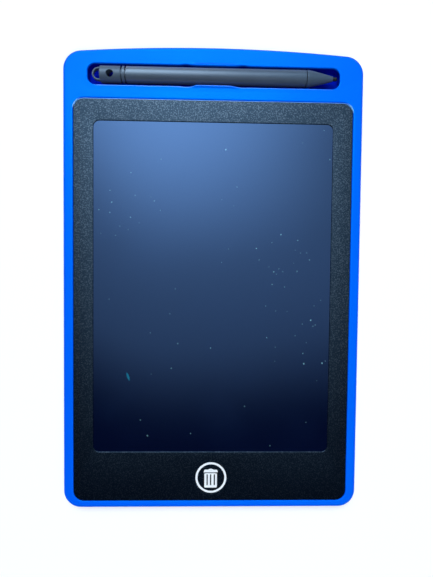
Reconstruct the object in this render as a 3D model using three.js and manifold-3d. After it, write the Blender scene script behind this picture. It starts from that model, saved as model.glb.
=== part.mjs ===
// An LCD writing tablet lying on its back, in millimetres. +X is right, +Y is towards the stylus slot
// and +Z is out of the screen. The origin is the middle of the back face.
import * as THREE from "three";
import { mergeVertices } from "three/addons/utils/BufferGeometryUtils.js";
import Module from "manifold-3d";

// Case
const bodyWidth = 143.6;
const bodyLength = 222.8;
const bodyThickness = 6;
const topBow = 3.13;
const topCornerRadius = 8.8;
const footCornerRadius = 8.4;
const frontEdgeRadius = 1;
const backEdgeRadius = 0.7;
const wallThickness = 1.8;
const coverThickness = 1.1;
const partingGap = 0.2;
const deckThickness = 1;
const roofThickness = 0.6;
const faceThickness = 1.4;

// How far cutting bodies stand out past a face, and how close two corners count as one
const overrun = 1;
const weldDistance = 1e-4;

// Rim of the back cover, its snap hooks and its ribs
const rimThickness = 1;
const rimHeight = 1.6;
const fitClearance = 0.15;
const hookWidth = 6;
const hookReach = 0.5;
const hookHeight = 0.6;
const hookPlay = 0.15;
const hookSideShares = [-0.7, -0.25, 0.25, 0.62];
const hookFootShares = [-0.6, 0.6];
const ribThickness = 1;
const ribPlay = 0.1;
const rowRibDrop = 0.4;
const ribColumns = 4;
const ribRows = 5;

// Cover film and screen
const sideBorder = 4.8;
const headHeight = 25.07;
const footBorder = 3.46;
const filmSink = 0.2;
const filmThickness = 0.3;
const adhesiveThickness = 0.1;
const filmCornerRadius = 5;
const filmClearance = 0.15;
const adhesiveInset = 0.5;
const filmSideMargin = 9.45;
const filmHeadMargin = 10.47;
const filmFootMargin = 24.21;
const windowCornerRadius = 2.9;
const screenOverlap = 3;
const screenClearance = 0.3;
const screenCornerRadius = 1.5;
const sheetThickness = 0.2;
const crystalThickness = 0.05;
const crystalSeal = 0.8;
const absorberThickness = 0.1;
const absorberOverlap = 0.5;
const tapeThickness = 0.15;
const pocketWall = 0.9;

// Stylus
const stylusRadius = 3.8;
const stylusBore = 2.9;
const spigotClearance = 0.1;
const spigotLength = 8;
const barrelLength = 85.35;
const grooveWidth = 0.7;
const collarWidth = 1.2;
const capLength = 9.85;
const capEdgeRadius = 0.35;
const lanyardHoleRadius = 1.62;
const lanyardHoleSetback = 4.9;
const lanyardHoleLean = 13;
const bailRadius = 3.1;
const bailArm = 0.85;
const bailThickness = 0.85;
const bailHeight = 2.2;
const noseGap = 0.3;
const noseLandLength = 1.4;
const noseTaperLength = 11.45;
const noseTipRadius = 1.2;
const noseSwell = 0.1;
const nibRadius = 0.95;
const nibReach = 2.4;
const nibDepth = 6;
const nibClearance = 0.08;

// Stylus slot
const slotDrop = 13.4;
const slotSideGap = 1.05;
const slotCapGap = 2.1;
const slotNibGap = 1;
const slotCornerRadius = 3.6;
const slotWall = 1.4;
const stylusSeatGap = 0.3;
const lipHalfLength = 10;
const lipReachHead = 0.25;
const lipReachFoot = 0.65;
const lipHeight = 0.35;
const lipWidth = 1.3;
const reliefDepth = 0.17;
const reliefOffset = 13.5;
const reliefHalfLength = 4;

// Erase key and its click switch
const keyRadius = 7.95;
const keyFilmGap = 0.08;
const keyRise = 11.14;
const keyTravel = 0.3;
const keySpare = 0.05;
const plungerInset = 0.25;
const plungerWall = 1.1;
const plungerPostRadius = 2.1;
const plungerSkin = 0.4;
const wingReach = 1.9;
const wingHalfWidth = 4;
const wingThickness = 0.2;
const wingGap = 0.15;
const switchSize = 6;
const switchHeight = 1;
const switchFloor = 0.2;
const switchButtonRadius = 1.5;
const switchButtonGap = 0.15;
const domeHeight = 0.18;
const domeThickness = 0.08;
const domeInset = 0.1;

// Circuit board and what is on it
const boardWidth = 70;
const boardDepth = 15;
const boardThickness = 0.8;
const boardCentreX = -11;
const boardCornerRadius = 1;
const boardScrewInset = 4;
const screwHeadRadius = 1.5;
const screwHeadHeight = 0.7;
const screwShankRadius = 0.8;
const screwTipGap = 0.3;
const screwHoleGap = 0.2;
const threadGap = 0.05;
const screwRecessDepth = 0.35;
const screwRecessWidth = 0.45;
const postRadius = 2.2;
const chipWidth = 6;
const chipDepth = 4;
const chipHeight = 0.9;
const chipInset = 31;
const coilRadius = 2.4;
const coilHeight = 1.1;
const coilWaistShare = 0.85;
const coilInset = 22.5;
const capacitorWidth = 3.2;
const capacitorDepth = 1.6;
const capacitorHeight = 1;
const capacitorInset = 14;
const resistorWidth = 1.6;
const resistorDepth = 0.8;
const resistorHeight = 0.45;
const resistorInset = 18.5;
const resistorPitch = 2.4;
const tailThickness = 0.15;
const tailWidth = 10;
const tailInset = 27;
const tailSlotPlay = 0.6;
const tailLanding = 2;

// Lock slider
const lockInset = 16;
const lockTravel = 3;
const knobLength = 6;
const knobWidth = 4.6;
const knobSink = 0.1;
const knobPlay = 0.3;
const flangeLength = 15;
const flangeWidth = 7;
const flangeThickness = 0.35;
const slideGap = 0.05;
const lockSwitchLength = 8;
const lockSwitchWidth = 2.8;
const lockSwitchGap = 0.1;
const leverWidth = 1.2;
const leverReach = 1.2;
const leverThickness = 0.35;
const prongThickness = 0.9;
const prongPlay = 0.1;
const knobRidges = 3;
const knobRidgeWidth = 0.5;
const knobRidgeDepth = 0.3;

// Coin cell, its door and its contacts
const cellRadius = 10;
const cellHeight = 1.6;
const cellLidInset = 1.1;
const cellLidStep = 0.25;
const cellBoardGap = 4;
const cellRise = 16.4;
const cellPlay = 0.25;
const cellWall = 1;
const cellWallHeight = 1.6;
const doorMargin = 2;
const doorTongue = 7;
const doorCornerRadius = 3;
const doorSink = 0.1;
const doorThickness = 0.9;
const doorPlay = 0.25;
const doorLedge = 0.9;
const doorScrewInset = 3.4;
const doorPadRadius = 3;
const doorPadHeight = 0.4;
const doorHeadRadius = 1.8;
const doorHeadHeight = 0.6;
const doorShankRadius = 0.9;
const doorScrewLength = 2.4;
const screwBossRadius = 2.6;
const screwBossHeight = 2.6;
const contactThickness = 0.2;
const contactWidth = 4;
const contactLift = 0.05;
const contactFoot = 5;
const contactGap = 0.3;
const contactSpread = 6;

// Smoothness of round shapes
const cornerSteps = 6;
const bowSteps = 12;
const edgeSteps = 3;
const lipSteps = 24;
const stylusSides = 36;
const roundSides = 32;
const smallSides = 16;

// Heights, worked from the front face down and from the back face up
const filmTopZ = bodyThickness - filmSink;
const filmBottomZ = filmTopZ - filmThickness;
const ledgeZ = filmBottomZ - adhesiveThickness;
const crystalTopZ = ledgeZ - sheetThickness;
const crystalBottomZ = crystalTopZ - crystalThickness;
const absorberTopZ = crystalBottomZ - sheetThickness;
const tapeTopZ = absorberTopZ - absorberThickness;
const deckTopZ = tapeTopZ - tapeThickness;
const deckUnderZ = deckTopZ - deckThickness;
const roofUnderZ = ledgeZ - roofThickness;
const headUnderZ = bodyThickness - faceThickness;
const partingZ = coverThickness + partingGap;
const coverMiddleZ = coverThickness / 2;
const wingTopZ = roofUnderZ - wingGap;
const plungerUnderZ = wingTopZ - wingThickness;
const switchTopZ = plungerUnderZ - keyTravel - keySpare;
const boardTopZ = switchTopZ - switchHeight;
const boardUnderZ = boardTopZ - boardThickness;
const doorTopZ = doorSink + doorThickness;
const ledgeTopZ = doorTopZ + doorLedge;
const cellUnderZ = doorTopZ + cellPlay;
const cellTopZ = cellUnderZ + cellHeight;
const flangeUnderZ = coverThickness + slideGap;
const flangeTopZ = flangeUnderZ + flangeThickness;
const stylusAxisZ = coverThickness + stylusSeatGap + stylusRadius;

// Places in the plane of the tablet
const halfWidth = bodyWidth / 2;
const headY = bodyLength / 2;
const footY = -bodyLength / 2;
const filmBox = {
  x: halfWidth - sideBorder,
  low: footY + footBorder,
  high: headY - headHeight,
};
const windowBox = {
  x: filmBox.x - filmSideMargin,
  low: filmBox.low + filmFootMargin,
  high: filmBox.high - filmHeadMargin,
};
const screenBox = growBox(windowBox, screenOverlap);
const absorberBox = growBox(windowBox, absorberOverlap);
const pocketBox = growBox(screenBox, screenClearance);
const bayHighY = pocketBox.low - pocketWall;
const bayLowY = footY + 2 * wallThickness + fitClearance;
const bayHalfWidth = filmBox.x - rimThickness - wallThickness;
const keyY = filmBox.low + keyRise;
const boardLeftX = boardCentreX - boardWidth / 2;
const boardRightX = boardCentreX + boardWidth / 2;
const capacitorX = boardLeftX + capacitorInset;
const lockX = boardLeftX + lockInset;
const resistorX = boardLeftX + resistorInset;
const coilX = boardLeftX + coilInset;
const tailX = boardLeftX + tailInset;
const chipX = boardLeftX + chipInset;
const cellX = boardRightX + cellBoardGap + cellRadius;
const cellY = footY + cellRise;
const stylusLength =
  bailRadius + bailArm + capLength + grooveWidth + collarWidth + grooveWidth + barrelLength + noseGap +
  noseLandLength + noseTaperLength + nibReach;
const slotLength = slotCapGap + stylusLength + slotNibGap;
const slotHalfWidth = stylusRadius + slotSideGap;
const slotY = headY - slotDrop;
const bailStartX = slotCapGap - slotLength / 2;
const capStartX = bailStartX + bailRadius + bailArm;
const capEndX = capStartX + capLength;
const collarStartX = capEndX + grooveWidth;
const collarEndX = collarStartX + collarWidth;
const barrelStartX = collarEndX + grooveWidth;
const barrelEndX = barrelStartX + barrelLength;
const noseStartX = barrelEndX + noseGap;
const noseLandX = noseStartX + noseLandLength;
const noseEndX = noseLandX + noseTaperLength;
const nibEndX = noseEndX + nibReach;

const wasm = await Module();
wasm.setup();

const bluePlastic = { color: 0x0072ff, roughness: 0.38, metalness: 0 };
const blackFilm = { color: 0x0a0c10, roughness: 0.5, metalness: 0 };
const screenNavy = { color: 0x0a1c46, roughness: 0.12, metalness: 0 };
const clearFilm = { color: 0xc9d2d8, roughness: 0.2, metalness: 0 };
const matteBlack = { color: 0x060607, roughness: 0.9, metalness: 0 };
const tapeWhite = { color: 0xd9d6cc, roughness: 0.8, metalness: 0 };
const greyPlastic = { color: 0x34424f, roughness: 0.35, metalness: 0 };
const nibPlastic = { color: 0x14171b, roughness: 0.3, metalness: 0 };
const boardGreen = { color: 0x14603a, roughness: 0.45, metalness: 0 };
const whitePlastic = { color: 0xd6d8d6, roughness: 0.5, metalness: 0 };
const steel = { color: 0xb8bcc0, roughness: 0.3, metalness: 1 };
const copperTail = { color: 0xb9772f, roughness: 0.4, metalness: 0 };
const chipBlack = { color: 0x17181a, roughness: 0.6, metalness: 0 };
const capacitorTan = { color: 0xa9855a, roughness: 0.5, metalness: 0 };
const blackPlastic = { color: 0x1b1d20, roughness: 0.45, metalness: 0 };

// A box in the tablet's plane, grown by one distance on every side.
function growBox(box, by) {
  return { x: box.x + by, low: box.low - by, high: box.high + by };
}

function boxAround(x, y, width, depth) {
  return { left: x - width / 2, right: x + width / 2, low: y - depth / 2, high: y + depth / 2 };
}

function arc(cx, cy, radius, from, to, steps) {
  const points = [];
  for (let i = 0; i <= steps; i++) {
    const angle = from + ((to - from) * i) / steps;
    points.push(new THREE.Vector2(cx + radius * Math.cos(angle), cy + radius * Math.sin(angle)));
  }
  return points;
}

function rectangle(box) {
  const left = box.left ?? -box.x;
  const right = box.right ?? box.x;
  return [
    new THREE.Vector2(left, box.low),
    new THREE.Vector2(right, box.low),
    new THREE.Vector2(right, box.high),
    new THREE.Vector2(left, box.high),
  ];
}

function roundedRectangle(box, radius, steps = cornerSteps) {
  const left = (box.left ?? -box.x) + radius;
  const right = (box.right ?? box.x) - radius;
  const low = box.low + radius;
  const high = box.high - radius;
  const quarter = Math.PI / 2;
  return [
    ...arc(right, low, radius, -quarter, 0, steps),
    ...arc(right, high, radius, 0, quarter, steps),
    ...arc(left, high, radius, quarter, 2 * quarter, steps),
    ...arc(left, low, radius, 2 * quarter, 3 * quarter, steps),
  ];
}

// The tablet's outline, moved inwards by one distance: straight sides and foot, and a gently bowed head.
function caseOutline(inset) {
  const bowRadius = (halfWidth * halfWidth + topBow * topBow) / (2 * topBow);
  const bowY = headY - bowRadius;
  const side = halfWidth - inset;
  const foot = footY + inset;
  const footRadius = footCornerRadius - inset;
  const topRadius = topCornerRadius - inset;
  const cornerX = side - topRadius;
  const cornerReach = bowRadius - inset - topRadius;
  const cornerY = bowY + Math.sqrt(cornerReach * cornerReach - cornerX * cornerX);
  const tilt = Math.atan2(cornerY - bowY, cornerX);
  const quarter = Math.PI / 2;
  return [
    ...arc(side - footRadius, foot + footRadius, footRadius, -quarter, 0, cornerSteps),
    ...arc(cornerX, cornerY, topRadius, 0, tilt, cornerSteps),
    ...arc(0, bowY, bowRadius - inset, tilt, Math.PI - tilt, bowSteps).slice(1, -1),
    ...arc(-cornerX, cornerY, topRadius, Math.PI - tilt, Math.PI, cornerSteps),
    ...arc(-side + footRadius, foot + footRadius, footRadius, Math.PI, 3 * quarter, cornerSteps),
  ];
}

// A smooth hump of height 1 that falls to 0 at one unit on either side.
function hump(t) {
  return Math.abs(t) < 1 ? (1 + Math.cos(Math.PI * t)) / 2 : 0;
}

// How far the slot's long edge stands in from straight at x: a lip in the middle, with a shallow
// relief on each side of it.
function slotEdgeReach(x, lipReach) {
  const left = hump((x + reliefOffset) / reliefHalfLength);
  const right = hump((x - reliefOffset) / reliefHalfLength);
  return lipReach * hump(x / lipHalfLength) - reliefDepth * (left + right);
}

function slotOutline(grow, withLips) {
  const end = slotLength / 2 + grow;
  const side = slotHalfWidth + grow;
  const radius = slotCornerRadius + grow;
  const quarter = Math.PI / 2;
  const waveEnd = reliefOffset + reliefHalfLength;
  const edge = (sign, lipReach) => {
    const points = [];
    for (let i = 0; i <= lipSteps; i++) {
      const x = sign * waveEnd * (1 - (2 * i) / lipSteps);
      points.push(new THREE.Vector2(x, slotY + sign * (side - slotEdgeReach(x, lipReach))));
    }
    return points;
  };
  return [
    ...arc(end - radius, slotY - side + radius, radius, -quarter, 0, cornerSteps),
    ...arc(end - radius, slotY + side - radius, radius, 0, quarter, cornerSteps),
    ...(withLips ? edge(1, lipReachHead) : []),
    ...arc(-end + radius, slotY + side - radius, radius, quarter, 2 * quarter, cornerSteps),
    ...arc(-end + radius, slotY - side + radius, radius, 2 * quarter, 3 * quarter, cornerSteps),
    ...(withLips ? edge(-1, lipReachFoot) : []),
  ];
}

// A closed shell through outlines of equally many points, each at its own height, capped flat at both ends.
function loft(levels) {
  const positions = [];
  const indices = [];
  const count = levels[0].outline.length;
  const clockwise = THREE.ShapeUtils.isClockWise(levels[0].outline);
  const outlines = levels.map(({ outline }) => (clockwise ? [...outline].reverse() : outline));
  outlines.forEach((outline, level) => {
    for (const point of outline) positions.push(point.x, point.y, levels[level].z);
  });
  for (let level = 0; level + 1 < levels.length; level++) {
    for (let i = 0; i < count; i++) {
      const a = level * count + i;
      const b = level * count + ((i + 1) % count);
      indices.push(a, b, b + count, a, b + count, a + count);
    }
  }
  const top = (levels.length - 1) * count;
  for (const [a, b, c] of THREE.ShapeUtils.triangulateShape(outlines[0], [])) {
    indices.push(a, c, b);
    indices.push(top + a, top + b, top + c);
  }
  return closedGeometry(positions, indices);
}

function prism(outline, lowZ, highZ) {
  return loft([
    { outline, z: lowZ },
    { outline, z: highZ },
  ]);
}

function closedGeometry(positions, indices) {
  const geometry = new THREE.BufferGeometry();
  geometry.setAttribute("position", new THREE.Float32BufferAttribute(positions, 3));
  geometry.setIndex(indices);
  return geometry;
}

// A turned piece: the profile gives radius and distance along the axis, and the axis lies along +Z or +X.
function turned(profile, sides, along = "z") {
  const points = profile.map(([radius, distance]) => new THREE.Vector2(radius, distance));
  const geometry = new THREE.LatheGeometry(points, sides);
  const upright = new THREE.Matrix4().set(0, 0, 1, 0, 1, 0, 0, 0, 0, 1, 0, 0, 0, 0, 0, 1);
  const lying = new THREE.Matrix4().set(0, 1, 0, 0, 0, 0, 1, 0, 1, 0, 0, 0, 0, 0, 0, 1);
  return geometry.applyMatrix4(along === "z" ? upright : lying);
}

function solid(geometry) {
  const bare = geometry.clone();
  bare.deleteAttribute("normal");
  bare.deleteAttribute("uv");
  const merged = mergeVertices(bare, weldDistance);
  const corners = [];
  for (let i = 0; i < merged.index.count; i += 3) {
    const [a, b, c] = [merged.index.getX(i), merged.index.getX(i + 1), merged.index.getX(i + 2)];
    if (a !== b && b !== c && c !== a) corners.push(a, b, c);
  }
  return new wasm.Manifold(
    new wasm.Mesh({
      numProp: 3,
      vertProperties: merged.attributes.position.array,
      triVerts: new Uint32Array(corners),
    }),
  );
}

function geometryOf(body) {
  const mesh = body.getMesh();
  return closedGeometry(Array.from(mesh.vertProperties), Array.from(mesh.triVerts));
}

function join(...geometries) {
  return geometryOf(geometries.map(solid).reduce((whole, piece) => whole.add(piece)));
}

function cut(whole, ...tools) {
  return geometryOf(tools.map(solid).reduce((left, tool) => left.subtract(tool), solid(whole)));
}

function common(first, second) {
  return geometryOf(solid(first).intersect(solid(second)));
}

const tablet = new THREE.Group();

function add(name, geometry, finish, group = tablet) {
  const mesh = new THREE.Mesh(geometry, new THREE.MeshStandardMaterial(finish));
  mesh.name = name;
  group.add(mesh);
  return mesh;
}

// Places of the snap hooks: along both sides, the head and the foot.
function hookPlaces() {
  const places = [];
  for (const share of hookSideShares) {
    places.push({ x: 1, y: 0, along: share * headY }, { x: -1, y: 0, along: share * headY });
  }
  for (const share of hookFootShares) places.push({ x: 0, y: -1, along: share * halfWidth });
  return places;
}

// A block that runs outwards through the side wall from the rim, at one hook's place.
function hookBlock(place, width, inner, outer, lowZ, highZ) {
  const edge = place.x !== 0 ? halfWidth : headY;
  const near = edge - inner;
  const far = edge - outer;
  const half = width / 2;
  const across = place.x !== 0 ? [place.x * near, place.x * far] : [place.y * near, place.y * far];
  const [low, high] = across.sort((a, b) => a - b);
  const box =
    place.x !== 0
      ? { left: low, right: high, low: place.along - half, high: place.along + half }
      : { left: place.along - half, right: place.along + half, low, high };
  return prism(rectangle(box), lowZ, highZ);
}

const hookLowZ = coverThickness + rimHeight - hookHeight;
const hookHighZ = coverThickness + rimHeight;

// A raised bead that follows one lip of the slot.
function lipBead(sign, lipReach) {
  const inner = [];
  const outer = [];
  for (let i = 0; i <= lipSteps; i++) {
    const x = lipHalfLength * ((2 * i) / lipSteps - 1);
    const edge = slotHalfWidth - slotEdgeReach(x, lipReach);
    const width = lipWidth * hump(x / lipHalfLength);
    inner.push(new THREE.Vector2(x, slotY + sign * edge));
    outer.push(new THREE.Vector2(x, slotY + sign * (edge + width)));
  }
  const outline = [...inner, ...outer.slice(1, -1).reverse()];
  return prism(outline, headUnderZ, bodyThickness + lipHeight);
}

function frontFrame() {
  const levels = [{ outline: caseOutline(0), z: partingZ }];
  for (let step = 0; step <= edgeSteps; step++) {
    const angle = (step / edgeSteps) * (Math.PI / 2);
    const inset = frontEdgeRadius * (1 - Math.cos(angle));
    const z = bodyThickness - frontEdgeRadius * (1 - Math.sin(angle));
    levels.push({ outline: caseOutline(inset), z });
  }
  const shell = loft(levels);
  const innerOutline = caseOutline(wallThickness);
  const tub = prism(slotOutline(slotWall, false), partingZ - overrun, headUnderZ + overrun);
  const cavity = cut(prism(innerOutline, partingZ - overrun, deckUnderZ), tub);
  const headBox = { x: halfWidth, low: filmBox.high + wallThickness, high: headY };
  const headRoom = common(
    prism(innerOutline, partingZ, headUnderZ),
    prism(rectangle(headBox), partingZ, headUnderZ),
  );
  const bayBox = { x: bayHalfWidth, low: bayLowY, high: bayHighY };
  const hollow = cut(
    shell,
    cavity,
    cut(headRoom, tub),
    prism(rectangle(bayBox), partingZ, roofUnderZ),
    prism(roundedRectangle(growBox(filmBox, filmClearance), filmCornerRadius + filmClearance), ledgeZ,
      bodyThickness + overrun),
    prism(roundedRectangle(pocketBox, screenCornerRadius + screenClearance), deckTopZ, bodyThickness),
    ...hookPlaces().map((place) =>
      hookBlock(place, hookWidth + 2 * hookPlay, wallThickness + rimThickness,
        wallThickness + fitClearance - hookReach - hookPlay, hookLowZ - hookPlay, hookHighZ + hookPlay)),
  );
  const slotWalls = prism(slotOutline(slotWall, false), coverThickness, headUnderZ);
  const withTub = join(hollow, slotWalls, lipBead(1, lipReachHead), lipBead(-1, lipReachFoot));
  const tailSlot = {
    left: tailX - tailWidth / 2 - tailSlotPlay,
    right: tailX + tailWidth / 2 + tailSlotPlay,
    low: bayHighY - tailSlotPlay,
    high: absorberBox.low - tailSlotPlay / 2,
  };
  return cut(
    withTub,
    prism(slotOutline(0, true), coverThickness - overrun, bodyThickness + overrun),
    turned(rod(keyRadius + keyFilmGap, partingZ, bodyThickness), roundSides).translate(0, keyY, 0),
    prism(rectangle(tailSlot), partingZ, absorberTopZ + tapeThickness),
  );
}

// The profile of a plain rod from one distance to another.
function rod(radius, low, high) {
  return [
    [0, low],
    [radius, low],
    [radius, high],
    [0, high],
  ];
}

function ring(inner, outer, low, high) {
  return [
    [inner, low],
    [outer, low],
    [outer, high],
    [inner, high],
    [inner, low],
  ];
}

const doorBox = {
  left: cellX - cellRadius - doorMargin,
  right: cellX + cellRadius + doorMargin + doorTongue,
  low: cellY - cellRadius - doorMargin,
  high: cellY + cellRadius + doorMargin,
};
const doorScrewX = doorBox.right - doorScrewInset;
const screwXs = [boardLeftX + boardScrewInset, boardRightX - boardScrewInset];

function shrunk(box, by) {
  return { left: box.left + by, right: box.right - by, low: box.low + by, high: box.high - by };
}

function coverRibs() {
  const field = { x: screenBox.x - rimThickness, low: screenBox.low + cellRadius, high: screenBox.high };
  const top = deckUnderZ - ribPlay;
  const ribs = [];
  for (let column = 0; column < ribColumns; column++) {
    const x = -field.x + (2 * field.x * (column + 0.5)) / ribColumns;
    const rib = boxAround(x, 0, ribThickness, 0);
    ribs.push(prism(rectangle({ ...rib, low: field.low, high: field.high }), coverMiddleZ, top));
  }
  for (let row = 0; row < ribRows; row++) {
    const y = field.low + ((field.high - field.low) * (row + 0.5)) / ribRows;
    const rib = boxAround(0, y, 2 * field.x, ribThickness);
    ribs.push(prism(rectangle(rib), coverMiddleZ, top - rowRibDrop));
  }
  return ribs;
}

function backCover() {
  const levels = [];
  for (let step = 0; step <= edgeSteps; step++) {
    const angle = (step / edgeSteps) * (Math.PI / 2);
    const inset = backEdgeRadius * (1 - Math.sin(angle));
    levels.push({ outline: caseOutline(inset), z: backEdgeRadius * (1 - Math.cos(angle)) });
  }
  levels.push({ outline: caseOutline(0), z: coverThickness });
  const rimInset = wallThickness + fitClearance;
  const rim = cut(
    prism(caseOutline(rimInset), coverMiddleZ, coverThickness + rimHeight),
    prism(caseOutline(rimInset + rimThickness), 0, coverThickness + rimHeight + overrun),
  );
  const hooks = hookPlaces().map((place) =>
    hookBlock(place, hookWidth, rimInset + rimThickness / 2, rimInset - hookReach, hookLowZ, hookHighZ));
  const posts = screwXs.map((x) =>
    turned(rod(postRadius, coverMiddleZ, boardUnderZ), smallSides).translate(x, keyY, 0));
  const screwBores = screwXs.map((x) =>
    turned(rod(screwShankRadius + threadGap, coverMiddleZ, boardUnderZ + overrun), smallSides)
      .translate(x, keyY, 0));
  const ledgeBox = shrunk(doorBox, -cellWall);
  const whole = join(
    loft(levels),
    rim,
    ...hooks,
    ...posts,
    ...coverRibs(),
    prism(roundedRectangle(ledgeBox, doorCornerRadius + cellWall), coverMiddleZ, ledgeTopZ),
    turned(rod(cellRadius + cellPlay + cellWall, coverMiddleZ, cellUnderZ + cellWallHeight), roundSides)
      .translate(cellX, cellY, 0),
    turned(rod(screwBossRadius, coverMiddleZ, doorTopZ + screwBossHeight), smallSides)
      .translate(doorScrewX, cellY, 0),
    ...[-1, 1].map((side) => lockRail(side)),
  );
  const lockWindow = boxAround(lockX, keyY, knobLength + lockTravel + 2 * knobPlay, knobWidth + 2 * knobPlay);
  const contactNotch = {
    left: cellX - cellRadius - cellWall - overrun,
    right: cellX - cellRadius / 2,
    low: cellY - contactSpread - contactWidth,
    high: cellY + contactSpread + contactWidth,
  };
  return cut(
    whole,
    prism(roundedRectangle(doorBox, doorCornerRadius), -overrun, doorTopZ),
    turned(rod(cellRadius + cellPlay, 0, cellTopZ + overrun), roundSides).translate(cellX, cellY, 0),
    turned(rod(doorPadRadius + doorPlay, 0, doorTopZ + doorPadHeight + slideGap), smallSides)
      .translate(doorScrewX, cellY, 0),
    turned(rod(doorShankRadius + threadGap, 0, doorTopZ + screwBossHeight + overrun), smallSides)
      .translate(doorScrewX, cellY, 0),
    prism(rectangle(contactNotch), ledgeTopZ, cellTopZ + overrun),
    prism(rectangle(lockWindow), -overrun, coverThickness + overrun),
    ...screwBores,
  );
}

function lockRail(side) {
  const y = keyY + side * (flangeWidth / 2 + slideGap + fitClearance + ribThickness / 2);
  const rail = boxAround(lockX, y, flangeLength + lockTravel, ribThickness);
  return prism(rectangle(rail), coverMiddleZ, flangeTopZ);
}

add("front_frame", frontFrame(), bluePlastic);
add("back_cover", backCover(), bluePlastic);

// Screen stack
const windowOutline = roundedRectangle(windowBox, windowCornerRadius);
const coverFilm = cut(
  prism(roundedRectangle(filmBox, filmCornerRadius), filmBottomZ, filmTopZ),
  prism(windowOutline, ledgeZ, bodyThickness),
  turned(rod(keyRadius + keyFilmGap, ledgeZ, bodyThickness), roundSides).translate(0, keyY, 0),
);
add("overlay_film", coverFilm, blackFilm);

const tapeOuter = growBox(filmBox, -adhesiveInset);
const tapeInner = growBox(windowBox, adhesiveInset);
const adhesive = cut(
  prism(roundedRectangle(tapeOuter, filmCornerRadius - adhesiveInset), ledgeZ, filmBottomZ),
  prism(roundedRectangle(tapeInner, windowCornerRadius + adhesiveInset), deckTopZ, bodyThickness),
  turned(rod(keyRadius + adhesiveInset, deckTopZ, bodyThickness), roundSides).translate(0, keyY, 0),
);
add("overlay_adhesive", adhesive, tapeWhite);

const screenOutline = roundedRectangle(screenBox, screenCornerRadius);
add("lcd_front_sheet", prism(screenOutline, crystalTopZ, ledgeZ), screenNavy);
const crystalOutline = roundedRectangle(growBox(screenBox, -crystalSeal), screenCornerRadius - crystalSeal);
add("liquid_crystal_layer", prism(crystalOutline, crystalBottomZ, crystalTopZ), screenNavy);
add("lcd_back_sheet", prism(screenOutline, absorberTopZ, crystalBottomZ), clearFilm);
const absorberOutline = roundedRectangle(absorberBox, screenCornerRadius);
add("light_absorber", prism(absorberOutline, tapeTopZ, absorberTopZ), matteBlack);
add("screen_tape", prism(absorberOutline, deckTopZ, tapeTopZ), tapeWhite);

// The flat lead leaves the rear sheet, drops through its slot and lands on the board.
function flexTail() {
  const boardHighY = keyY + boardDepth / 2;
  const startY = absorberBox.low - tailSlotPlay;
  const bendY = pocketBox.low - screenClearance;
  const landY = boardHighY - 2 * tailThickness;
  const endY = boardHighY - tailLanding;
  const points = [
    [startY, absorberTopZ - tailThickness],
    [startY, absorberTopZ],
    [bendY, absorberTopZ],
    [landY, boardTopZ + tailThickness],
    [endY, boardTopZ + tailThickness],
    [endY, boardTopZ],
    [landY + tailThickness / 2, boardTopZ],
    [bendY + tailThickness / 2, absorberTopZ - tailThickness],
  ];
  return acrossX(points, tailX, tailWidth);
}

// A strip bent in the Y-Z plane and made to one width along X.
function acrossX(points, centreX, width) {
  const section = points.map(([y, z]) => new THREE.Vector2(y, z));
  const bent = prism(section, centreX - width / 2, centreX + width / 2);
  return bent.applyMatrix4(new THREE.Matrix4().set(0, 0, 1, 0, 1, 0, 0, 0, 0, 1, 0, 0, 0, 0, 0, 1));
}

// A strip bent in the X-Z plane and made to one width along Y.
function acrossY(points, centreY, width) {
  const section = points.map(([x, z]) => new THREE.Vector2(z, x));
  const bent = prism(section, centreY - width / 2, centreY + width / 2);
  return bent.applyMatrix4(new THREE.Matrix4().set(0, 1, 0, 0, 0, 0, 1, 0, 1, 0, 0, 0, 0, 0, 0, 1));
}

add("screen_flex_tail", flexTail(), copperTail);

// Board and its parts
function circuitBoard() {
  const outline = roundedRectangle(boxAround(boardCentreX, keyY, boardWidth, boardDepth), boardCornerRadius);
  const holes = screwXs.map((x) =>
    turned(rod(screwShankRadius + screwHoleGap, partingZ, bodyThickness), smallSides).translate(x, keyY, 0));
  return cut(prism(outline, boardUnderZ, boardTopZ), ...holes);
}

// A pan-head screw standing on its head's seat, with a cross recess in the head.
function crossScrew(shankRadius, length, headRadius, headHeight, recessWidth, recessDepth) {
  const round = headHeight / 3;
  const body = turned(
    [
      [0, -length],
      [shankRadius / 2, -length],
      [shankRadius, -length + shankRadius / 2],
      [shankRadius, 0],
      [headRadius, 0],
      [headRadius, headHeight - round],
      [headRadius - round, headHeight],
      [0, headHeight],
    ],
    smallSides,
  );
  const slotReach = headRadius - round;
  const slots = [
    boxAround(0, 0, 2 * slotReach, recessWidth),
    boxAround(0, 0, recessWidth, 2 * slotReach),
  ].map((box) => prism(rectangle(box), headHeight - recessDepth, headHeight + recessDepth));
  return cut(body, ...slots);
}

add("circuit_board", circuitBoard(), boardGreen);
["board_screw_left", "board_screw_right"].forEach((name, index) => {
  const screw = crossScrew(screwShankRadius, boardTopZ - coverMiddleZ - screwTipGap, screwHeadRadius,
    screwHeadHeight, screwRecessWidth, screwRecessDepth);
  add(name, screw.translate(screwXs[index], keyY, boardTopZ), steel);
});

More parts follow.
